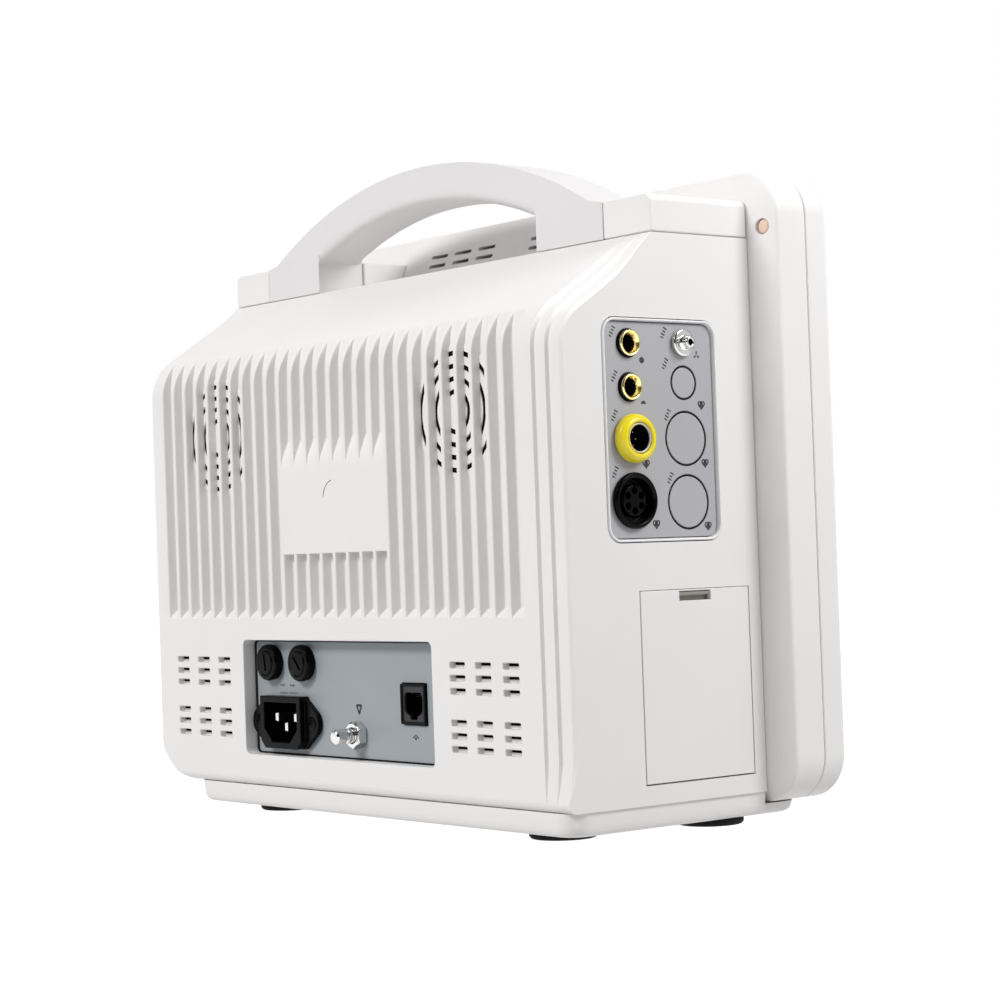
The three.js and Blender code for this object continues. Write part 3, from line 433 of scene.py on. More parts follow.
# How deep the groove is, from 0 on the rib to 1 on the floor, at distances outside its wall.
GROOVE_EDGE = [(0.8, 0), (0.5, 0.012), (0.28, 0.05), (0.12, 0.11), (0.03, 0.22), (-0.06, 0.5), (-0.15, 0.84),
               (-0.28, 0.94), (-0.5, 0.99), (-0.75, 1)]

FLUTE_STEP, FLUTE_TREAD, FLUTE_RISER = 1.45, 5.4, 0.7
BAY = {"x0": -64, "x1": 69.8, "z0": 25.4, "z1": 73.7, "radius": 2.5, "y": 63.3}
VENT_COLUMNS = [119.2, 102.2, 85.5, -80.1, -96, -112.7]
VENT_ROWS = [65, 60, 55, 43, 38, 33]
VENT_WIDTH, VENT_HEIGHT, VENT_POCKET, VENT_SLIT, VENT_SKIN = 9.5, 2.5, 2.8, 1.3, 0.4
GRILLE_Z = 161.5
GRILLE_RADII = [7.8, 12.7, 17.5, 22.4]
GRILLE_SLOT = 1.9
GRILLE_Y = REAR_Y - GROOVE_DEPTH + 0.5
GRILLE_X = [GROOVE_X0 - 9 * GROOVE_PITCH, GROOVE_X0 + 9 * GROOVE_PITCH]
LABEL_ARC = (-2, 131.5)


def ease(t):
    t = min(1, max(0, t))
    return t * t * (3 - 2 * t)


def side_profile(inset, fade=True):
    """(y, z) points round the side view, from the front lower corner to the front upper corner.

    inset moves the rear face and shoulder in, and fades out at the foot and at the top edge.
    """
    centre_y = REAR_Y - SHOULDER_R
    rise = TOP_Z - (centre_y + SHOULDER_R * math.sin(SLOPE) - TOP_EDGE_Y) * math.tan(SLOPE)
    centre_z = rise - SHOULDER_R * math.cos(SLOPE)
    foot = 4
    start = 0 if fade else inset
    points = [(FLARE_Y, FOOT_Z)]
    points += arc((REAR_Y - foot - start, FOOT_Z + foot), foot, -90, 0, 6)
    heights = [FOOT_Z + 9, 30, 50, 70, 82.2]
    heights += [GROOVE_Z0 + GROOVE_RAMP * t for t in (0, 0.2, 0.5, 0.8, 1, 1.3)]
    heights += [100, 108.6, 109.2, 109.6, 110, 110.8, 125, 139, 141, 144, 147, 150, 153, 156, 157]
    for z in heights:
        points.append((REAR_Y - inset * ease((z - FOOT_Z - 4) / 10 if fade else 1), z))
    shoulder = arc((centre_y, centre_z), SHOULDER_R - inset, 0, 90 - math.degrees(SLOPE), 18)
    points += shoulder
    last = Vector(shoulder[-1])
    run = (last.x - TOP_EDGE_Y) / math.cos(SLOPE)
    edge = Vector((TOP_EDGE_Y, TOP_Z))
    ideal = last + Vector((-math.cos(SLOPE), math.sin(SLOPE))) * run
    for t in (0.12, 0.25, 0.4, 0.55, 0.7, 0.8, 0.9, 1):
        point = last.lerp(ideal, t)
        share = ease((t - 0.45) / 0.55) if fade else 0
        points.append(tuple(point.lerp(last.lerp(edge, t), share)))
    points.append((FLARE_Y, TOP_Z))
    return points


def groove_floor(z, in_label):
    """How far out a groove's floor stands at a height."""
    floor = REAR_Y - GROOVE_DEPTH * min(1, max(0, (z - GROOVE_Z0) / GROOVE_RAMP))
    if z > GROOVE_ARC_Z:
        rise = min(1, (z - GROOVE_ARC_Z) / GROOVE_ARC_R)
        floor -= GROOVE_ARC_R * (1 - math.sqrt(1 - rise * rise))
    if in_label and z > LABEL_Z0:
        floor = REAR_Y - (REAR_Y - floor) * ease((z - LABEL_Z1) / LABEL_FADE)
    return floor


def station(x, inset, depth=0, in_label=False):
    """One outline of the cover across X, with its rear pulled in where a groove runs."""
    points = []
    for y, z in side_profile(inset):
        share = depth * max(0, y - groove_floor(z, in_label))
        points.append((x, y - share, z))
    return points


def cover_stations():
    stations = []
    inset = 3 * FLUTE_STEP + 0.5
    x = -SIDE_X
    for step in (2, 1, 0):
        for t in (0, 0.2, 0.5, 0.8, 1):
            stations.append((x + FLUTE_RISER * t, inset - FLUTE_STEP * ease(t)))
        x += FLUTE_RISER
        inset -= FLUTE_STEP
        if step:
            stations.append((x + 0.4, inset - 0.02))
            stations.append((x + FLUTE_TREAD - 0.3, inset - 0.25))
            x += FLUTE_TREAD
            inset -= 0.25
    outlines = [station(x, max(0, inset)) for x, inset in stations]
    for n in range(-GROOVES_EACH_SIDE, GROOVES_EACH_SIDE + 1):
        centre = GROOVE_X0 + n * GROOVE_PITCH
        for out, depth in GROOVE_EDGE:
            outlines.append(station(centre - GROOVE_HALF - out, 0, depth, n in LABEL_GROOVES))
        for out, depth in reversed(GROOVE_EDGE):
            outlines.append(station(centre + GROOVE_HALF + out, 0, depth, n in LABEL_GROOVES))
    for x, drop in reversed(arc((SIDE_X - FAR_EDGE_R, 0), FAR_EDGE_R, 0, 90, 8)):
        outlines.append(station(x, FAR_EDGE_R - drop))
    return outlines


def side_clip(inset):
    """The cover's outline seen from the rear, with its large lower corner on the +X side."""
    x, z = SIDE_X - inset, FOOT_Z + inset
    radius = FAR_CORNER_R - inset
    corner = arc((x - radius, z + radius), radius, -90, 0, 20)
    outline = [(-SIDE_X - 1, z), *corner, (x, TOP_Z + 1), (-SIDE_X - 1, TOP_Z + 1)]
    return prism_y(outline, FLARE_Y - 2, REAR_Y + 1)


def bay_outline(grow):
    return rounded_rectangle(BAY["x0"] - grow, BAY["x1"] + grow, BAY["z0"] - grow, BAY["z1"] + grow,
                             BAY["radius"] + grow)


def flared(outline, depths):
    """A cutter along Y whose outline grows towards the surface: depths are (y, grow)."""
    return loft([[(a, y, b) for a, b in outline(grow)] for y, grow in depths])


def vent_pocket(x, z):
    """A shallow pocket with a softened rim."""
    half_w, half_h = VENT_WIDTH / 2, VENT_HEIGHT / 2

    def outline(grow):
        return rounded_rectangle(x - half_w - grow, x + half_w + grow, z - half_h - grow, z + half_h + grow,
                                 0.5 + grow, 3)

    return flared(outline, [(REAR_Y - VENT_POCKET, 0), (REAR_Y - 0.3, 0), (REAR_Y + 0.05, 0.35),
                            (REAR_Y + 0.5, 0.35)])


def vent_slit(x, z):
    """A slit through the wall behind the upper part of a pocket."""
    top = z + VENT_HEIGHT / 2
    outline = rounded_rectangle(x - VENT_WIDTH / 2, x + VENT_WIDTH / 2, top - VENT_SLIT, top, 0.45, 3)
    return prism_y(outline, REAR_Y - REAR_WALL - 1, REAR_Y - VENT_POCKET + 0.01)


def all_vents(cutter):
    return merged(*(cutter(x, z) for x in VENT_COLUMNS for z in VENT_ROWS))


def vent_groups(grow, y0, y1):
    """A block behind each group of nine vents."""
    blocks = []
    for columns in (VENT_COLUMNS[:3], VENT_COLUMNS[3:]):
        for rows in (VENT_ROWS[:3], VENT_ROWS[3:]):
            outline = rounded_rectangle(columns[2] - 6 - grow, columns[0] + 6 + grow,
                                        rows[2] - 2.2 - grow, rows[0] + 2.2 + grow, 1.5, 4)
            blocks.append(prism_y(outline, y0, y1))
    return merged(*blocks)


def vent_shade_sheets():
    """A black sheet behind the vents, let into the back of the wall: painted shade for the dark seen through
    the slits.
    """
    shape = vent_groups(-0.3, REAR_Y - REAR_WALL + 0.4, REAR_Y - VENT_POCKET - VENT_SKIN - 0.1)
    piece("vent_shade_sheets", bevelled(shape, 0.3, 2), "case_white", finish="shade_black_sheet")


def grille_discs(radius, y0, y1):
    return merged(*(place(disc(radius, y0, y1, 72), "rear", (x, 0, GRILLE_Z)) for x in GRILLE_X))


def grille_columns(reach, under):
    """Blocks along the grooves that cross a grille, reaching further under the rib on the +X side."""
    columns = []
    for centre in GRILLE_X:
        for m in (-2, -1, 0, 1, 2):
            x = centre + m * GROOVE_PITCH
            columns.append(block(x - reach, x + reach + under, REAR_Y - 9, REAR_Y - 2,
                                 GRILLE_Z - 30, GRILLE_Z + 30))
    return merged(*columns)


def grille_floors():
    """Low round platforms in the groove floors."""
    floor = REAR_Y - GROOVE_DEPTH
    profile = [(0, floor - 0.6), (26.1, floor - 0.6), (26.1, floor), (25.2, GRILLE_Y), (0, GRILLE_Y)]
    discs = merged(*(place(turned(profile, 96), "rear", (x, 0, GRILLE_Z)) for x in GRILLE_X))
    return boolean(discs, [grille_columns(GROOVE_HALF + 0.3, 0)], "INTERSECT")


def grille_slots():
    """Rings of slots that open only between the ribs."""
    bottom, top = REAR_Y - GROOVE_DEPTH - 3, GRILLE_Y + 0.1
    rings = []
    for x in GRILLE_X:
        for radius in GRILLE_RADII:
            inner, outer = radius - GRILLE_SLOT / 2, radius + GRILLE_SLOT / 2
            profile = [(inner, bottom), (outer, bottom), (outer, top), (inner, top)]
            rings.append(place(turned(profile, 72), "rear", (x, 0, GRILLE_Z)))
    return boolean(merged(*rings), [grille_columns(GROOVE_HALF - 0.1, 1.4)], "INTERSECT")


def speaker_shade_sheets():
    """A black sheet behind the speaker slots, let into the back of the wall: painted shade for the dark seen
    through them.
    """
    shape = grille_discs(24.2, REAR_Y - REAR_WALL + 0.4, GRILLE_Y - VENT_SKIN - 0.1)
    piece("speaker_shade_sheets", bevelled(shape, 0.3, 2), "case_white", finish="shade_black_sheet")


def rear_cover():
    solid = boolean(loft(cover_stations()), [side_clip(0)], "INTERSECT")
    inner = [(y - 1 if y == FLARE_Y else y, min(max(z, FOOT_Z + WALL), TOP_Z - WALL))
             for y, z in side_profile(REAR_WALL, False)]
    inner = list(dict.fromkeys(inner))
    hollow = boolean(prism_x(inner, -SIDE_X + WALL, SIDE_X - WALL), [side_clip(WALL)], "INTERSECT")
    solid = boolean(solid, [hollow])
    solid = boolean(solid, [prism_y(bay_outline(WALL), BAY["y"] - 4, REAR_Y - 2)], "UNION")
    bay = flared(bay_outline, [(BAY["y"] - 5, 0), (REAR_Y - 0.5, 0), (REAR_Y - 0.1, 0.15),
                               (REAR_Y + 0.3, 0.6), (REAR_Y + 1, 0.6)])
    sensor_pocket = sensor_layers([(-SIDE_X + WALL + 1, 1.75), (-SIDE_X - 1, 1.75)])
    door_low, door_high = low("battery_door"), high("battery_door")
    margin = 0.2
    door = block(-SIDE_X - 1, -SIDE_X + WALL + 1, door_low.y + 2 - margin, door_high.y - 2 + margin,
                 door_low.z - 2.5 * margin, door_high.z + margin)
    inside = REAR_Y - REAR_WALL - 1
    behind_vents = vent_groups(0, inside, REAR_Y - VENT_POCKET - VENT_SKIN)
    behind_grilles = grille_discs(24.6, inside, GRILLE_Y - VENT_SKIN)
    solid = boolean(solid, [grille_floors()], "UNION")
    solid = boolean(solid, [grille_slots(), all_vents(vent_pocket), all_vents(vent_slit), behind_vents,
                            behind_grilles, bay, sensor_pocket, door])
    piece("rear_cover_shell", solid, "case_white", replaces=["rear_cover"], sharp=32)


# ---------------------------------------------------------------- top cover, handle, bezels and base
BODY_FRAME = (SIDE_X, FOOT_Z, high("top_cover").z)
BEZEL_FRAME = (high("front_bezel").x, low("front_bezel").z, high("front_bezel").z)
BODY_R, BEZEL_R = 6, 18
FLARE_DEPTH = 3
FRONT_Y = low("front_bezel").y
VENT_LEAN = 0.418
HANDLE = {"foot": high("carry_handle").x, "leg": 76, "outer": 220, "outer_z": 50, "inner": 195,
          "inner_z": 59.2, "grip": 4.4}
KEY_WIDTH, KEY_HEIGHT = 27, 11


def frames(layers, closed_loop=False):
    """A skin through rounded frames: layers are (y, share of the flare, inset, radius)."""
    outlines = []
    for y, share, inset, radius in layers:
        half, bottom, top = (a + (b - a) * share for a, b in zip(BODY_FRAME, BEZEL_FRAME))
        outline = rounded_rectangle(-half + inset, half - inset, bottom + inset, top - inset, radius, 14)
        outlines.append([(a, y, b) for a, b in outline])
    return loft(outlines, closed_loop)


def box_outline(node, radius, grow=0.0):
    """A node's outline seen from the front or rear, with rounded corners."""
    a, b = low(node), high(node)
    return rounded_rectangle(a.x - grow, b.x + grow, a.z - grow, b.z + grow, max(radius + grow, 0.1))


def bezel_ring():
    rear, parting = FLARE_Y - GAP, low("bezel_ring").y
    flare = rear - FLARE_DEPTH
    spread = BEZEL_FRAME[0] - BODY_FRAME[0]
    line = filleted([(0, rear), (spread, flare), (spread, parting + 0.35), (spread - 0.35, parting)], 1.4,
                    steps=5)
    layers = []
    for out, y in line:
        share = min(1, out / spread)
        layers.append((y, share, 0, BODY_R + (BEZEL_R - BODY_R) * share))
    layers += [(parting, 1, WALL, BEZEL_R - WALL), (flare - WALL, 1, WALL, BEZEL_R - WALL),
               (rear - WALL, 0, 5, 3), (rear, 0, 5, 3)]
    top = BEZEL_FRAME[2]

    def lean(z):
        return flare + (top - z) * VENT_LEAN

    foot, deck = TOP_Z + WALL + GAP, BODY_FRAME[2]
    half = HANDLE["leg"] - 1.4
    wall = prism_x([(lean(foot), foot), (lean(top - 0.6), top - 0.6), (lean(top) - 3, top - 1.6),
                    (lean(deck) - 4, deck - 5.5), (lean(foot) - 3, foot)], -half, half)
    slots = []
    for side in (-1, 1):
        for column in range(3):
            for z in (236.6, 240.8):
                x = -1.7 + side * (18.2 + 17 * column)
                outline = rounded_rectangle(x - 6, x + 6, z - 0.8, z + 0.8, 0.7, 4)
                slots.append(prism_y(outline, rear - 12, rear + 12))
    plug = middle("bezel_hole_plug")
    hole = turned([(0, 0), (3.1, 0), (3.1, 9), (3.6, 14), (0, 14)], 48)
    hole = place(hole, "rear", (plug.x, rear - 9, plug.z))
    shape = boolean(boolean(frames(layers, True), [wall], "UNION"), [merged(*slots), hole])
    piece("bezel_ring_shell", shape, "case_white", replaces=["bezel_ring"], sharp=30)


def front_bezel():
    rear = high("front_bezel").y
    layers = [(rear, 1, 0.35, BEZEL_R - 0.35), (rear - 0.35, 1, 0, BEZEL_R)]
    for step in range(7):
        angle = math.radians(15 * step)
        inset = 3.2 * (1 - math.cos(angle))
        layers.append((FRONT_Y + 3.2 * (1 - math.sin(angle)), 1, inset, BEZEL_R - inset))
    cavity = frames([(rear + 1, 1, WALL, BEZEL_R - WALL), (FRONT_Y + WALL, 1, WALL, BEZEL_R - WALL)])
    openings = []
    for node, radius in (("display_glass", 3), ("alarm_lamp", 2)):
        openings.append(flared(lambda grow, n=node, r=radius: box_outline(n, r, GAP + grow),
                               [(FRONT_Y - 1, 0.9), (FRONT_Y - 0.01, 0.6), (FRONT_Y + 0.6, 0),
                                (FRONT_Y + 5, 0)]))
    for node in KEY_NODES:
        openings.append(prism_y(key_outline(-GAP, middle(node)), FRONT_Y - 1, FRONT_Y + 5))
    knob_at = middle("knob_shaft")
    openings.append(place(disc(4.2, -6, 2), "front", (knob_at.x, FRONT_Y, knob_at.z)))
    shape = boolean(frames(layers), [cavity, *openings])
    piece("front_bezel_shell", shape, "case_white", replaces=["front_bezel"], sharp=30)


def key_outline(inset, centre):
    half_w, half_h = KEY_WIDTH / 2 - inset, KEY_HEIGHT / 2 - inset
    return rounded_rectangle(centre.x - half_w, centre.x + half_w, centre.z - half_h, centre.z + half_h,
                             3 - inset)


def carry_handle():
    """The arch: its upper edges are crisp, and the ones that a hand closes round are full."""
    y0, y1 = low("carry_handle").y, high("carry_handle").y
    bottom, deck, foot, leg = low("carry_handle").z, high("top_cover").z, HANDLE["foot"], HANDLE["leg"]
    outer = math.degrees(math.asin((deck + 1.4 - HANDLE["outer_z"]) / HANDLE["outer"]))
    inner = math.degrees(math.acos(leg / HANDLE["inner"]))
    upper = arc((0, HANDLE["outer_z"]), HANDLE["outer"], outer, 180 - outer, 90)
    lower = arc((0, HANDLE["inner_z"]), HANDLE["inner"], 180 - inner, inner, 72)
    outline = [(leg, bottom), (foot, bottom), (foot, deck), *upper, (-foot, deck), (-foot, bottom),
               (-leg, bottom), *lower]
    shape = prism_y(outline, y0, y1)

    def grip(edge):
        """Whether an edge runs along the underside of the arch."""
        a, b = (vert.co for vert in edge.verts)
        reach = max(math.hypot(p.x, p.z - HANDLE["inner_z"]) for p in (a, b))
        return abs(a.y - b.y) < 0.1 and reach < HANDLE["inner"] + 0.5 and abs(a.x - b.x) > 0.1

    shape = bevelled(shape, HANDLE["grip"], 7, within=grip)
    shape = bevelled(shape, 0.4, 3, angle=32)
    # The handle's finish is a darker copy of the case white: painted shade.
    piece("carry_handle_shell", shape, "case_white", replaces=["carry_handle"], finish="handle_shaded_white",
          sharp=30)


def base_plinth():
    a, b = low("base_plinth"), high("base_plinth")
    layers = [(a.z, 3.2), (a.z + 0.15, 2.7), (a.z + 0.5, 2.1), (a.z + 1, 1.5), (a.z + 2, 0.9), (a.z + 4, 0.4),
              (b.z, 0), (b.z + 0.22, 0.1)]
    outlines = []
    for z, inset in layers:
        outline = rounded_rectangle(a.x + inset, b.x - inset, a.y + inset, b.y - inset, 9 - inset / 2, 14)
        outlines.append([(x, y, z) for x, y in outline])
    blank = loft(outlines)
    hollow = block(a.x + 10, b.x - 8, a.y + 18, b.y - 8, a.z + 2.4, b.z + 1)
    under_bezel = block(-160, 160, -80, FLARE_Y - GAP + 0.3, BEZEL_FRAME[1] - GAP, b.z + 1)
    piece("base_plinth_shell", boolean(blank, [hollow, under_bezel]), "case_white", replaces=["base_plinth"])


def rubber_foot(node):
    """A foot with two grip rings in its sole."""
    centre, radius = middle(node), (high(node).x - low(node).x) / 2
    top = high(node).z
    profile = [(0, 0.35), (4, 0.35), (4.4, 0), (6.6, 0), (7, 0.35), (8.4, 0.35), (8.8, 0),
               (radius - 0.9, 0), (radius, 0.9), (radius, top), (0, top)]
    shape = place(turned(filleted(profile, 0.3, steps=3), 72), "up", (centre.x, centre.y, 0))
    piece(f"{node}_pad", shape, "foot_rubber", replaces=[node])


# ---------------------------------------------------------------- connector bay
PLATE_Y = high("rear_plate").y


def lathe(name, node, profile, towards, centre, slot, radius=0.25, segments=96, cutters=()):
    """A turned piece with softened corners, standing towards a side and replacing a CAD node."""
    shape = turned(filleted(profile, radius, steps=3), segments)
    if cutters:
        shape = boolean(shape, cutters)
    return piece(name, place(shape, towards, centre), slot, body_of(node), [node])


def bay_gap_shade():
    """A black ring in the corner between the plate and the bay's walls: painted shade for the shadow in the
    gap there.
    """
    inner = rounded_rectangle(BAY["x0"] + 0.75, BAY["x1"] - 1.5, BAY["z0"] + 0.75, BAY["z1"] - 0.75, 1.8)
    outer = bay_outline(-0.08)
    back, face = PLATE_Y + 0.03, PLATE_Y + 0.3
    loops = [(back, outer), (face, outer), (face, inner), (back, inner)]
    piece("bay_gap_shade", loft([[(a, y, b) for a, b in loop] for y, loop in loops], True), "black_plastic",
          finish="foot_rubber")


def fuse(side, turn):
    holder, cap = f"fuse_holder_{side}", f"fuse_cap_{side}"
    centre = (middle(cap).x, PLATE_Y, middle(cap).z)
    lathe(f"{holder}_body", holder, [(4.6, -26), (6, -26), (6, GAP), (7.4, GAP), (7.4, 1.4), (4.6, 1.4)],
          "rear", centre, "black_plastic")
    profile = [(0, -5), (4.2, -5), (4.2, 1.7), (7.7, 1.7), (7.65, 3.4), (7.2, 4.3), (5.7, 4.45), (5.5, 4.15),
               (5.1, 4.15), (4.9, 4.75), (0, 4.8)]
    angle = math.radians(90) - turn
    slot = prism(rounded_rectangle(-3.7, 3.7, -0.6, 0.6, 0.5, 4), 3.3, 6)
    bmesh.ops.rotate(slot, matrix=Matrix.Rotation(angle, 3, "Z"), verts=slot.verts)
    lathe(f"{cap}_turned", cap, profile, "rear", centre, "black_plastic", cutters=[slot])


def earth_stud():
    centre = middle("earth_stud")
    tip = high("earth_stud").y - PLATE_Y
    profile = [(0, -12), (3, -12)]
    for turn in range(9):
        profile += [(3, -4 + turn), (2.72, -3.5 + turn)]
    profile += [(3, 5), (3, tip - 6), (2.3, tip - 5.7), (2.3, tip - 5.2), (3, tip - 4.9), (3, tip - 0.8),
                (2.2, tip), (0, tip)]
    at = (centre.x, PLATE_Y, centre.z)
    lathe("earth_stud_turned", "earth_stud", profile, "rear", at, "plated_metal", 0.12)
    softened("earth_stud_nut", 0.25, "plated_metal", 2)


def inlet():
    softened("mains_inlet", 0.35, "black_plastic", 3)
    for name in ("line", "neutral", "earth"):
        node = f"inlet_pin_{name}"
        tip = PLATE_Y + 2.2
        blade = flared(lambda grow, n=node: box_outline(n, 0.3, grow),
                       [(low(node).y, 0), (tip - 0.9, 0), (tip - 0.3, -0.15), (tip, -0.5)])
        piece(f"{node}_blade", blade, "plated_metal", replaces=[node])
    centre = middle("mains_inlet")
    heads = []
    for side in (-1, 1):
        profile = [(0, -4), (1.2, -4), (1.2, 0.9), (2.9, 2.3), (2.9, 2.75), (0, 3.05)]
        head = turned(filleted(profile, 0.2, steps=3), 48)
        cross = [block(-1.7, 1.7, -0.3, 0.3, 2.2, 4), block(-0.3, 0.3, -1.7, 1.7, 2.2, 4)]
        heads.append(place(boolean(head, cross), "rear", (centre.x + side * 20, PLATE_Y + 0.15, centre.z)))
    piece("inlet_screws", merged(*heads), "black_plastic")


def network_socket():
    """A frame, a set-back face with the port's mouth in it, and eight spring contacts."""
    back, front = low("network_jack").y, high("network_jack").y
    a, b = middle("network_jack").x, middle("network_jack").z
    half = [(2.3, -6.2), (2.5, -4.6), (4.4, -4.2), (5.9, -2.8), (6, 3), (5, 4.6)]
    mouth = [(a - x, b + z) for x, z in half] + [(a + x, b + z) for x, z in half[::-1]]
    mouth = filleted(mouth, 0.9, True, 4)

    def port():
        return prism_y(mouth, back + 2, front + 1)

    body = prism_y(box_outline("network_jack", 0.7), back, front)
    step = prism_y(box_outline("network_jack", 0.4, -1), front - 1.5, front + 1)
    piece("network_jack_body", boolean(body, [step, port()]), "black_plastic", replaces=["network_jack"])
    face = prism_y(box_outline("network_jack", 0.3, -1.05), front - 1.45, front - 0.5)
    piece("network_jack_face", boolean(face, [port()]), "black_plastic", finish="socket_grey")
    wires = []
    for i in range(8):
        x = a - 3.57 + 1.02 * i
        wires.append(prism_x([(front - 2, b + 3.8), (front - 2.4, b + 3.9), (front - 9, b + 1.2),
                              (front - 8.6, b + 0.9)], x - 0.2, x + 0.2))
    piece("network_contacts", merged(*wires), "gold_plate")


# ---------------------------------------------------------------- sensor panel
PLATE_X = low("sensor_plate").x


def sensor_layers(layers, closed_loop=False):
    """A skin round the sensor plate: layers are (x, how far it stands outside the plate's edge)."""
    a, b = low("sensor_plate"), high("sensor_plate")
    outlines = []
    for x, grow in layers:
        outline = rounded_rectangle(a.y - grow, b.y + grow, a.z - grow, b.z + grow, 4.7 + grow, 10)
        outlines.append([(x, y, z) for y, z in outline])
    return loft(outlines, closed_loop)


def sensor_rim():
    """The raised white frame round the grey plate, in a lighter white than the case: a painted highlight."""
    face = -SIDE_X
    rim = sensor_layers([(face + 2, GAP), (face + 0.2, GAP), (face - 0.35, 0.45), (face - 0.62, 0.75),
                         (face - 0.62, 1.05), (face - 0.4, 1.3), (face, 1.4), (face + 2, 1.4)], True)
    piece("sensor_rim", rim, "case_white", finish="rim_highlight_white")


def sensor_plate():
    back = high("sensor_plate").x
    plate = sensor_layers([(back, 0), (PLATE_X + 0.2, 0), (PLATE_X, -0.2)])
    sizes = {"temperature_jack_1": 5.4, "temperature_jack_2": 5.4, "ring_socket": 8, "six_way_socket": 9.6,
             "cuff_fitting": 4.6}
    for i in (1, 2, 3):
        sizes[f"blank_disc_{i}"] = disc_radius(f"blank_disc_{i}") + 0.8
    holes, cut_outs = [], []
    for node, radius in sizes.items():
        at = on_plate(node)
        profile = [(0, -3), (radius, -3), (radius, -0.15), (radius + 0.4, 0.2), (0, 0.2)]
        holes.append(place(turned(profile, 96), "side", at))
        if "blank" not in node:
            cut_outs.append(place(disc(radius, -4, 1), "side", at))
    piece("sensor_plate_shell", boolean(plate, holes), "panel_grey", replaces=["sensor_plate"])
    backing = sensor_layers([(back + 0.2, -3), (back + 1, -3)])
    piece("sensor_backing", boolean(backing, cut_outs), "black_plastic")


def on_plate(node):
    """The point of the plate's face that a socket is centred on."""
    return (PLATE_X, middle(node).y, middle(node).z)


def disc_radius(node):
    return (high(node).y - low(node).y) / 2


def sensor_sockets():
    for i in (1, 2):
        jack, bush = f"temperature_jack_{i}", f"temperature_bush_{i}"
        cup = [(0, -14), (5.1, -14), (5.1, GAP), (5.35, GAP), (5.35, 0.8), (5.2, 1.05), (5, 1.05),
               (5, -12.5), (0, -12.5)]
        lathe(f"{jack}_cup", jack, cup, "side", on_plate(jack), "black_plastic", 0.15)
        throat = [(3.1, -1.4), (4.9, -1.4), (4.9, 1.85), (4.5, 2.2), (4.1, 2.1), (3.3, 0.7), (3.1, 0.2)]
        lathe(f"{bush}_ring", bush, throat, "side", on_plate(bush), "gold_plate", 0.12)
        liner = turned(filleted([(3.5, -12), (4.8, -12), (4.8, -1.6), (3.5, -1.6)], 0.15, True), 64)
        piece(f"{jack}_liner", place(liner, "side", on_plate(jack)), "black_plastic")
    ring = [(5.9, -4), (7.6, -4), (7.6, GAP), (9.2, GAP), (9.2, 2.2), (8.6, 3.9), (7.4, 4.9), (6.4, 5.1),
            (5.9, 4.6)]
    ring_at = on_plate("ring_socket")
    lathe("ring_socket_collar", "ring_socket", ring, "side", ring_at, "socket_yellow", 0.9, 128)
    core = [(0, -13), (5.6, -13), (5.6, 3.8), (5, 3.8), (5, -6), (0, -6)]
    pins = []
    for i in range(6):
        angle = math.radians(60 * i)
        pin = turned(filleted([(0, -6.5), (0.55, -6.5), (0.55, -1.6), (0.3, -1), (0, -1)], 0.2), 24)
        pins.append(place(pin, "up", (2.9 * math.cos(angle), 2.9 * math.sin(angle), 0)))
    core_at = on_plate("ring_socket_core")
    lathe("ring_socket_insert", "ring_socket_core", core, "side", core_at, "black_plastic", 0.15)
    piece("ring_socket_pins", place(merged(*pins), "side", core_at), "black_plastic", finish="gold_plate")
    lip = turned(filleted([(5, 3.85), (5.6, 3.85), (5.6, 4.3), (5.35, 4.6), (5.1, 4.5), (5, 4.2)], 0.1), 96)
    piece("ring_socket_lip", place(lip, "side", core_at), "black_plastic", finish="socket_ivory")

    cup = [(0, -14), (9.2, -14), (9.2, GAP), (10.5, GAP), (10.5, 1.5), (10, 2.3), (9.1, 2.4), (8.4, 1.9),
           (8.2, 1.2), (8.2, -3), (5.8, -3), (5.8, 0.5), (5.5, 0.8), (0, 0.8)]
    holes = []
    for i in range(6):
        angle = math.radians(60 * i + 30)
        hole = turned([(0, -2.4), (1.25, -2.4), (1.25, 0.5), (1.5, 1), (0, 1)], 32)
        holes.append(place(hole, "up", (3.8 * math.cos(angle), 3.8 * math.sin(angle), 0)))
    holes.append(block(-0.6, 0.6, 5, 6.4, -1.5, 1.5))
    lathe("six_way_socket_body", "six_way_socket", cup, "side", on_plate("six_way_socket"), "black_plastic",
          0.3, 128, [merged(*holes)])
    fitting = [(1.1, -12), (4.3, -12), (4.3, GAP), (5.2, GAP), (5.2, 1.8), (4.8, 2.2), (2.7, 2.2), (1.8, 3.1),
               (1.8, 3.8), (2.3, 4.3), (2.3, 5.2), (2, 5.6), (1.3, 5.6), (1.1, 5.3)]
    lathe("cuff_fitting_turned", "cuff_fitting", fitting, "side", on_plate("cuff_fitting"), "plated_metal")
    for i in (1, 2, 3):
        node = f"blank_disc_{i}"
        radius = disc_radius(node)
        blank = [(0, -1.8), (radius, -1.8), (radius, -0.2), (radius - 0.2, 0), (0, 0)]
        lathe(f"{node}_turned", node, blank, "side", on_plate(node), "panel_grey", 0.1)
        # A black ring in the gap round each blank disc: painted shade for the shadow in that gap.
        gap_shade_ring = turned(filleted([(radius + 0.03, -1), (radius + 0.77, -1), (radius + 0.77, -0.15),
                                (radius + 0.03, -0.15)], 0.1, True, 3), 96)
        piece(f"{node}_seal", place(gap_shade_ring, "side", on_plate(node)), "black_plastic", finish="foot_rubber")


# ---------------------------------------------------------------- printed marks
INK = 0.06


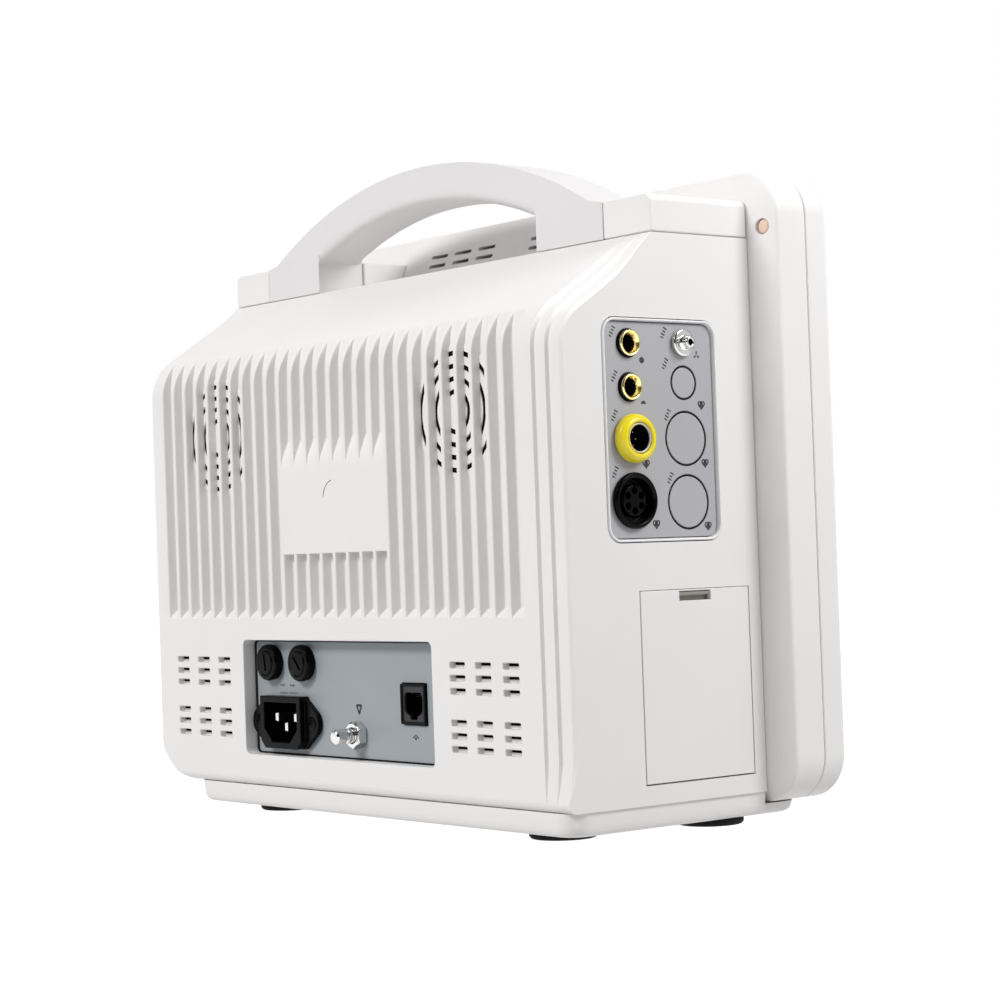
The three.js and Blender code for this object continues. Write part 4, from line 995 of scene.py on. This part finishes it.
def ribbon(points, width, closed=False):
    """A thin printed line along points (a, b)."""
    count = len(points)
    left, right = [], []
    for i, point in enumerate(points):
        before = Vector(points[i - 1] if i or closed else point)
        after = Vector(points[(i + 1) % count] if i < count - 1 or closed else point)
        run = (after - before).normalized()
        across = Vector((-run.y, run.x)) * width / 2
        left.append(tuple(Vector(point) + across))
        right.append(tuple(Vector(point) - across))
    if not closed:
        return prism(left + right[::-1], -0.03, INK)
    rings = [(left, -0.03), (left, INK), (right, INK), (right, -0.03)]
    return loft([[(a, b, h) for a, b in side] for side, h in rings], True)


def dashes(centre, count, step, length, width, tilt):
    """A short row of strokes that stands in for lettering."""
    angle = math.radians(tilt)
    along = Vector((math.cos(angle), math.sin(angle)))
    across = Vector((-along.y, along.x))
    made = []
    for i in range(count):
        middle_point = Vector(centre) + along * step * (i - (count - 1) / 2)
        reach = across * length / 2 * (1 if i % 2 else 0.7)
        made.append(ribbon([tuple(middle_point - reach), tuple(middle_point + reach)], width))
    return made


def heart(centre, size):
    points = []
    for i in range(28):
        t = 2 * math.pi * i / 28
        a = 16 * math.sin(t) ** 3
        b = 13 * math.cos(t) - 5 * math.cos(2 * t) - 2 * math.cos(3 * t) - math.cos(4 * t)
        points.append((centre[0] + a * size / 32, centre[1] + b * size / 32))
    return points


def sensor_marks():
    """A row of strokes above each place and a plain sign below it."""
    offsets = {
        "temperature_jack_1": (7.4, 4.1, -6.9, -6.2, "dot"),
        "temperature_jack_2": (7.2, 3.9, -6.8, -6.2, "half"),
        "ring_socket": (8.4, 8.5, -6.5, -9.3, "heart"),
        "six_way_socket": (8.5, 10.6, -11, -8.8, "heart"),
        "cuff_fitting": (8.8, 3.6, -7.7, -4.5, "star"),
        "blank_disc_1": (9.2, 7, -8.7, -8.2, "heart"),
        "blank_disc_2": (9.1, 8.8, -9.4, -9.2, "heart"),
        "blank_disc_3": (8.9, 9.1, -9.6, -9.1, "heart"),
    }
    strokes, signs = [], []
    for node, (y1, z1, y2, z2, sign) in offsets.items():
        centre = middle(node)
        strokes += dashes((centre.y + y1, centre.z + z1), 4, 1.25, 1.9, 0.5, 118)
        spot = (centre.y + y2, centre.z + z2)
        if sign == "heart":
            signs.append(ribbon(heart(spot, 3.2), 0.55, True))
            signs.append(prism(arc(spot, 0.9, 0, 345, 18), -0.03, INK))
        elif sign == "star":
            for root, tip in zip(arc(spot, 0.35, 90, 330, 2), arc(spot, 1.5, 90, 330, 2)):
                signs.append(ribbon([root, tip], 0.6))
        else:
            span = 345 if sign == "dot" else 180
            signs.append(prism(arc(spot, 1.2, 0, span, 18), -0.03, INK))
    for name, marks in (("sensor_strokes", strokes), ("sensor_signs", signs)):
        piece(name, place(merged(*marks), "side", (PLATE_X, 0, 0)), "panel_grey", finish="print_dark")


def bay_marks():
    """Strokes between the fuses and the inlet, an arrowhead under the port and a triangle over the stud."""
    marks = []
    for x in (49, 41.6):
        marks += dashes((x, 54.6), 4, 0.95, 1.0, 0.5, 0)
        marks += dashes((x - 0.8, 51.4), 6, 0.95, 0.7, 0.4, 0)
    net = middle("network_jack")
    a, b = net.x, net.z - 13.4
    marks.append(ribbon([(a - 1.9, b), (a, b + 1.2), (a + 1.9, b)], 0.5))
    marks.append(prism(arc((a, b - 0.2), 0.6, 0, 345, 16), -0.03, INK))
    stud = middle("earth_stud")
    a, b = stud.x, stud.z + 10.4
    triangle = filleted([(a - 1.7, b + 1.5), (a + 1.7, b + 1.5), (a, b - 1.9)], 0.4, True, 2)
    marks.append(ribbon(triangle, 1.0, True))
    piece("bay_marks", place(merged(*marks), "rear", (0, PLATE_Y, 0)), "plate_grey", finish="print_dark")


def label_mark():
    """The small thumbnail arc in the plain label area."""
    shape = ribbon(arc(LABEL_ARC, 7.7, 8, 78, 14), 0.3)
    piece("label_arc", place(shape, "rear", (0, REAR_Y, 0)), "case_white", finish="print_dark")


# ---------------------------------------------------------------- front
KEY_NODES = [f"key_{name}" for name in ("power", "alarm", "freeze", "cuff", "record", "menu", "trend")]


def key_sign(name):
    """A plain sign for a key, about 5 mm high."""
    if name == "power":
        return [ribbon(arc((0, 0), 2, 125, 415, 24), 0.45), ribbon([(0, 0.5), (0, 2.5)], 0.45)]
    if name == "alarm":
        bell = [(-2.2, -1.4), (2.2, -1.4), *arc((0, 0.4), 1.6, 0, 180, 12)]
        return [ribbon(bell, 0.45, True), prism(arc((0, -2.2), 0.5, 0, 330, 10), -0.03, INK)]
    if name == "freeze":
        return [ribbon([(-1, -2), (-1, 2)], 0.7), ribbon([(1, -2), (1, 2)], 0.7)]
    if name == "cuff":
        cuff = rounded_rectangle(-2.6, 2.6, -1.7, 1.7, 1)
        return [ribbon(cuff, 0.45, True), ribbon([(-0.8, 0), (0.8, 0)], 0.45)]
    if name == "record":
        return [prism(arc((0, 0), 1.6, 0, 350, 32), -0.03, INK)]
    if name == "menu":
        return [ribbon([(-2.3, b), (2.3, b)], 0.5) for b in (-1.5, 0, 1.5)]
    return [ribbon([(a, -1.9), (a, top)], 0.7) for a, top in ((-1.7, -0.5), (0, 0.8), (1.7, 2))]


def front_key(node):
    centre = middle(node)
    origin = Vector((0, 0, 0))
    at = (centre.x, 0, centre.z)
    face = -low(node).y

    def outline(inset):
        return key_outline(inset, origin)

    cap = soft_prism(outline(0), -FRONT_Y - WALL - 1, face, 0.9, outline, 5)
    lip = prism(key_outline(-1.5, origin), -high(node).y, -FRONT_Y - WALL - GAP)
    shape = boolean(cap, [lip], "UNION")
    piece(f"{node}_cap", place(shape, "front", at), "key_grey", body_of(node), [node])
    sign = place(merged(*key_sign(node[4:])), "front", (centre.x, -face, centre.z))
    piece(f"{node}_sign", sign, "key_grey", body_of(node), finish="print_blue")


def knob():
    centre = middle("rotary_knob")
    radius, front = 17, 13.1

    def grip(angle, r, _height):
        if r < radius - 2.6:
            return r
        return r - 0.55 * (0.5 + 0.5 * math.cos(36 * angle)) ** 3

    outside = [(3.1, 1), (radius, 1), (radius, 9.6), (radius - 0.8, 11), (radius - 2.6, front - 0.4),
               (radius - 3.6, front - 0.2), (radius - 5.5, front - 0.9), (radius - 9, front - 1.5),
               (0, front - 1.6)]
    shape = turned(filleted(outside, 0.7, steps=4) + [(0, 10), (3.1, 10)], 288, grip)
    piece("rotary_knob_turned", place(shape, "front", (centre.x, FRONT_Y, centre.z)), "key_grey",
          body_of("rotary_knob"), ["rotary_knob"])


def slab(node, radius, edge, slot):
    """A plate facing the front, with its front rim rounded over."""
    a, b = low(node), high(node)
    shape = soft_prism(box_outline(node, radius), -b.y, -a.y, edge,
                       lambda inset: box_outline(node, radius, -inset), 3)
    return piece(f"{node}_slab", place(shape, "front", (0, 0, 0)), slot, body_of(node), [node])


# ---------------------------------------------------------------- all of it
def finish_cad_nodes():
    """Gives every CAD node the surface of its slot."""
    for part in frame["record"]["subparts"]:
        for mesh_slot in frame["nodes"][part["node"]].material_slots:
            mesh_slot.material = MATERIALS[part["material_slot"]]


finish_cad_nodes()
rear_cover()
vent_shade_sheets()
speaker_shade_sheets()
softened("top_cover", 0.8, "case_white", 4)
carry_handle()
bezel_ring()
front_bezel()
base_plinth()
for name in ("front_left", "front_right", "rear_left", "rear_right"):
    rubber_foot(f"foot_{name}")
plug = middle("bezel_hole_plug")
lathe("bezel_plug_turned", "bezel_hole_plug", [(0, 0), (2.8, 0), (2.8, 2.5), (2.2, 3), (0, 3.2)], "rear",
      (plug.x, low("bezel_hole_plug").y, plug.z), "plug_peach")
softened("rear_plate", 0.25, "plate_grey", 2)
inlet()
fuse("left", 0.15)
fuse("right", 0.7)
earth_stud()
network_socket()
sensor_rim()
sensor_plate()
sensor_sockets()
sensor_marks()
bay_gap_shade()
bay_marks()
label_mark()
softened("battery_door", 0.3, "case_white")
softened("battery_latch", 0.2, "latch_grey", 2)
softened("battery_pack", 1.2, "black_plastic")
slab("display_glass", 2.7, 0.4, "screen_glass")
slab("alarm_lamp", 2, 0.5, "lamp_amber")
for node in KEY_NODES:
    front_key(node)
knob()


# ---------------------------------------------------------------- camera, light and floor
CAMERA_YAW, CAMERA_PITCH, CAMERA_ROLL = 51.44, 1.29, -2.01
CAMERA_AT = (-812.54, 629.36, 106.41)
CAMERA_LENS = 87.36
# (cosine to an axis, strength): light by height, and reflections by how far they point along MIRROR_AXIS.
WORLD_LIGHT = [(-1, 0.74), (-0.05, 0.48), (0.3, 0.46), (1, 0.44)]
WORLD_MIRROR = [(-1, 1.1), (-0.5, 0.95), (-0.32, 0.05), (-0.08, 0.08), (0.02, 0.85), (0.24, 0.8),
                (0.32, 0.05), (0.5, 0.05), (0.58, 0.6), (0.66, 0.05), (1, 0.05)]
MIRROR_AXIS = (-0.72, 0.62, 0.1)
FLOOR_GLOW = 0.88


def add_camera():
    yaw, pitch, roll = (math.radians(a) for a in (CAMERA_YAW, CAMERA_PITCH, CAMERA_ROLL))
    look = Vector((math.sin(yaw) * math.cos(pitch), -math.cos(yaw) * math.cos(pitch), math.sin(pitch)))
    right = look.cross(Vector((0, 0, 1))).normalized()
    up = right.cross(look)
    rolled_right = right * math.cos(roll) + up * math.sin(roll)
    rolled_up = up * math.cos(roll) - right * math.sin(roll)
    camera = linked("camera", bpy.data.cameras.new("camera"))
    turn = Matrix((rolled_right, rolled_up, -look)).transposed().to_4x4()
    camera.matrix_world = Matrix.Translation(Vector(CAMERA_AT) * MM) @ turn
    camera.data.sensor_width = 36
    camera.data.lens = CAMERA_LENS
    camera.data.clip_start = 0.05
    bpy.context.scene.camera = camera


def add_area_light(name, place_at, aim, size, power):
    light = bpy.data.lights.new(name, "AREA")
    light.shape = "DISK"
    light.size = size
    light.energy = power
    obj = linked(name, light)
    obj.location = place_at
    obj.rotation_euler = (Vector(aim) - Vector(place_at)).to_track_quat("-Z", "Y").to_euler()


def add_floor():
    """A pale floor that glows a little, so that it runs into the background without a line."""
    bm = bmesh.new()
    bmesh.ops.create_grid(bm, x_segments=8, y_segments=8, size=6)
    mesh = mesh_from(bm, "floor")
    floor = linked("floor", mesh)
    floor.visible_diffuse = False
    paint = bpy.data.materials.new("floor_paint")
    paint.use_nodes = True
    set_inputs(paint.node_tree.nodes["Principled BSDF"],
               {"Base_Color": (0.5, 0.5, 0.5, 1), "Roughness": 1, "Specular_IOR_Level": 0,
                "Emission_Color": (1, 1, 1, 1), "Emission_Strength": FLOOR_GLOW})
    mesh.materials.append(paint)


def add_world():
    """White as seen, with its own strengths as light and in reflections."""
    world = bpy.data.worlds.new("studio")
    bpy.context.scene.world = world
    world.use_nodes = True
    tree = world.node_tree
    link = tree.links.new
    tree.nodes.clear()
    direction = add_node(tree, "TexCoord").outputs["Generated"]
    ray = add_node(tree, "LightPath")

    def level(axis, stops):
        """A background whose strength goes through stops (cosine to the axis, strength)."""
        dot = add_node(tree, "VectorMath")
        dot.operation = "DOT_PRODUCT"
        dot.inputs[1].default_value = axis
        link(direction, dot.inputs[0])
        share = add_node(tree, "MapRange", From_Min=-1)
        link(dot.outputs["Value"], share.inputs["Value"])
        ramp = add_node(tree, "ValToRGB")
        elements = ramp.color_ramp.elements
        while len(elements) < len(stops):
            elements.new(0.5)
        for element, (cosine, strength) in zip(elements, stops):
            element.position = (cosine + 1) / 2
            element.color = (strength, strength, strength, 1)
        link(share.outputs["Result"], ramp.inputs["Fac"])
        shade = add_node(tree, "Background")
        link(ramp.outputs["Color"], shade.inputs["Color"])
        return shade

    def mixed(choice, otherwise, chosen):
        """One shade for the rays that a light path output picks, and another for the rest."""
        mix = add_node(tree, "MixShader")
        link(ray.outputs[choice], mix.inputs["Fac"])
        link(otherwise.outputs[0], mix.inputs[1])
        link(chosen.outputs[0], mix.inputs[2])
        return mix

    light = level((0, 0, 1), WORLD_LIGHT)
    mirror = level(Vector(MIRROR_AXIS).normalized(), WORLD_MIRROR)
    white = add_node(tree, "Background", Color=(1, 1, 1, 1))
    seen = mixed("Is Camera Ray", mixed("Is Glossy Ray", light, mirror), white)
    link(seen.outputs[0], add_node(tree, "OutputWorld").inputs["Surface"])


def add_studio():
    add_world()
    add_area_light("rear_key", (0.2, 2.1, 1.65), (0, 0.06, 0.12), 0.9, 44)
    add_area_light("side_key", (-0.76, -0.32, 0.68), (-0.15, 0, 0.16), 0.4, 5.6)
    add_floor()


add_camera()
add_studio()
bpy.context.scene.view_settings.view_transform = "Standard"
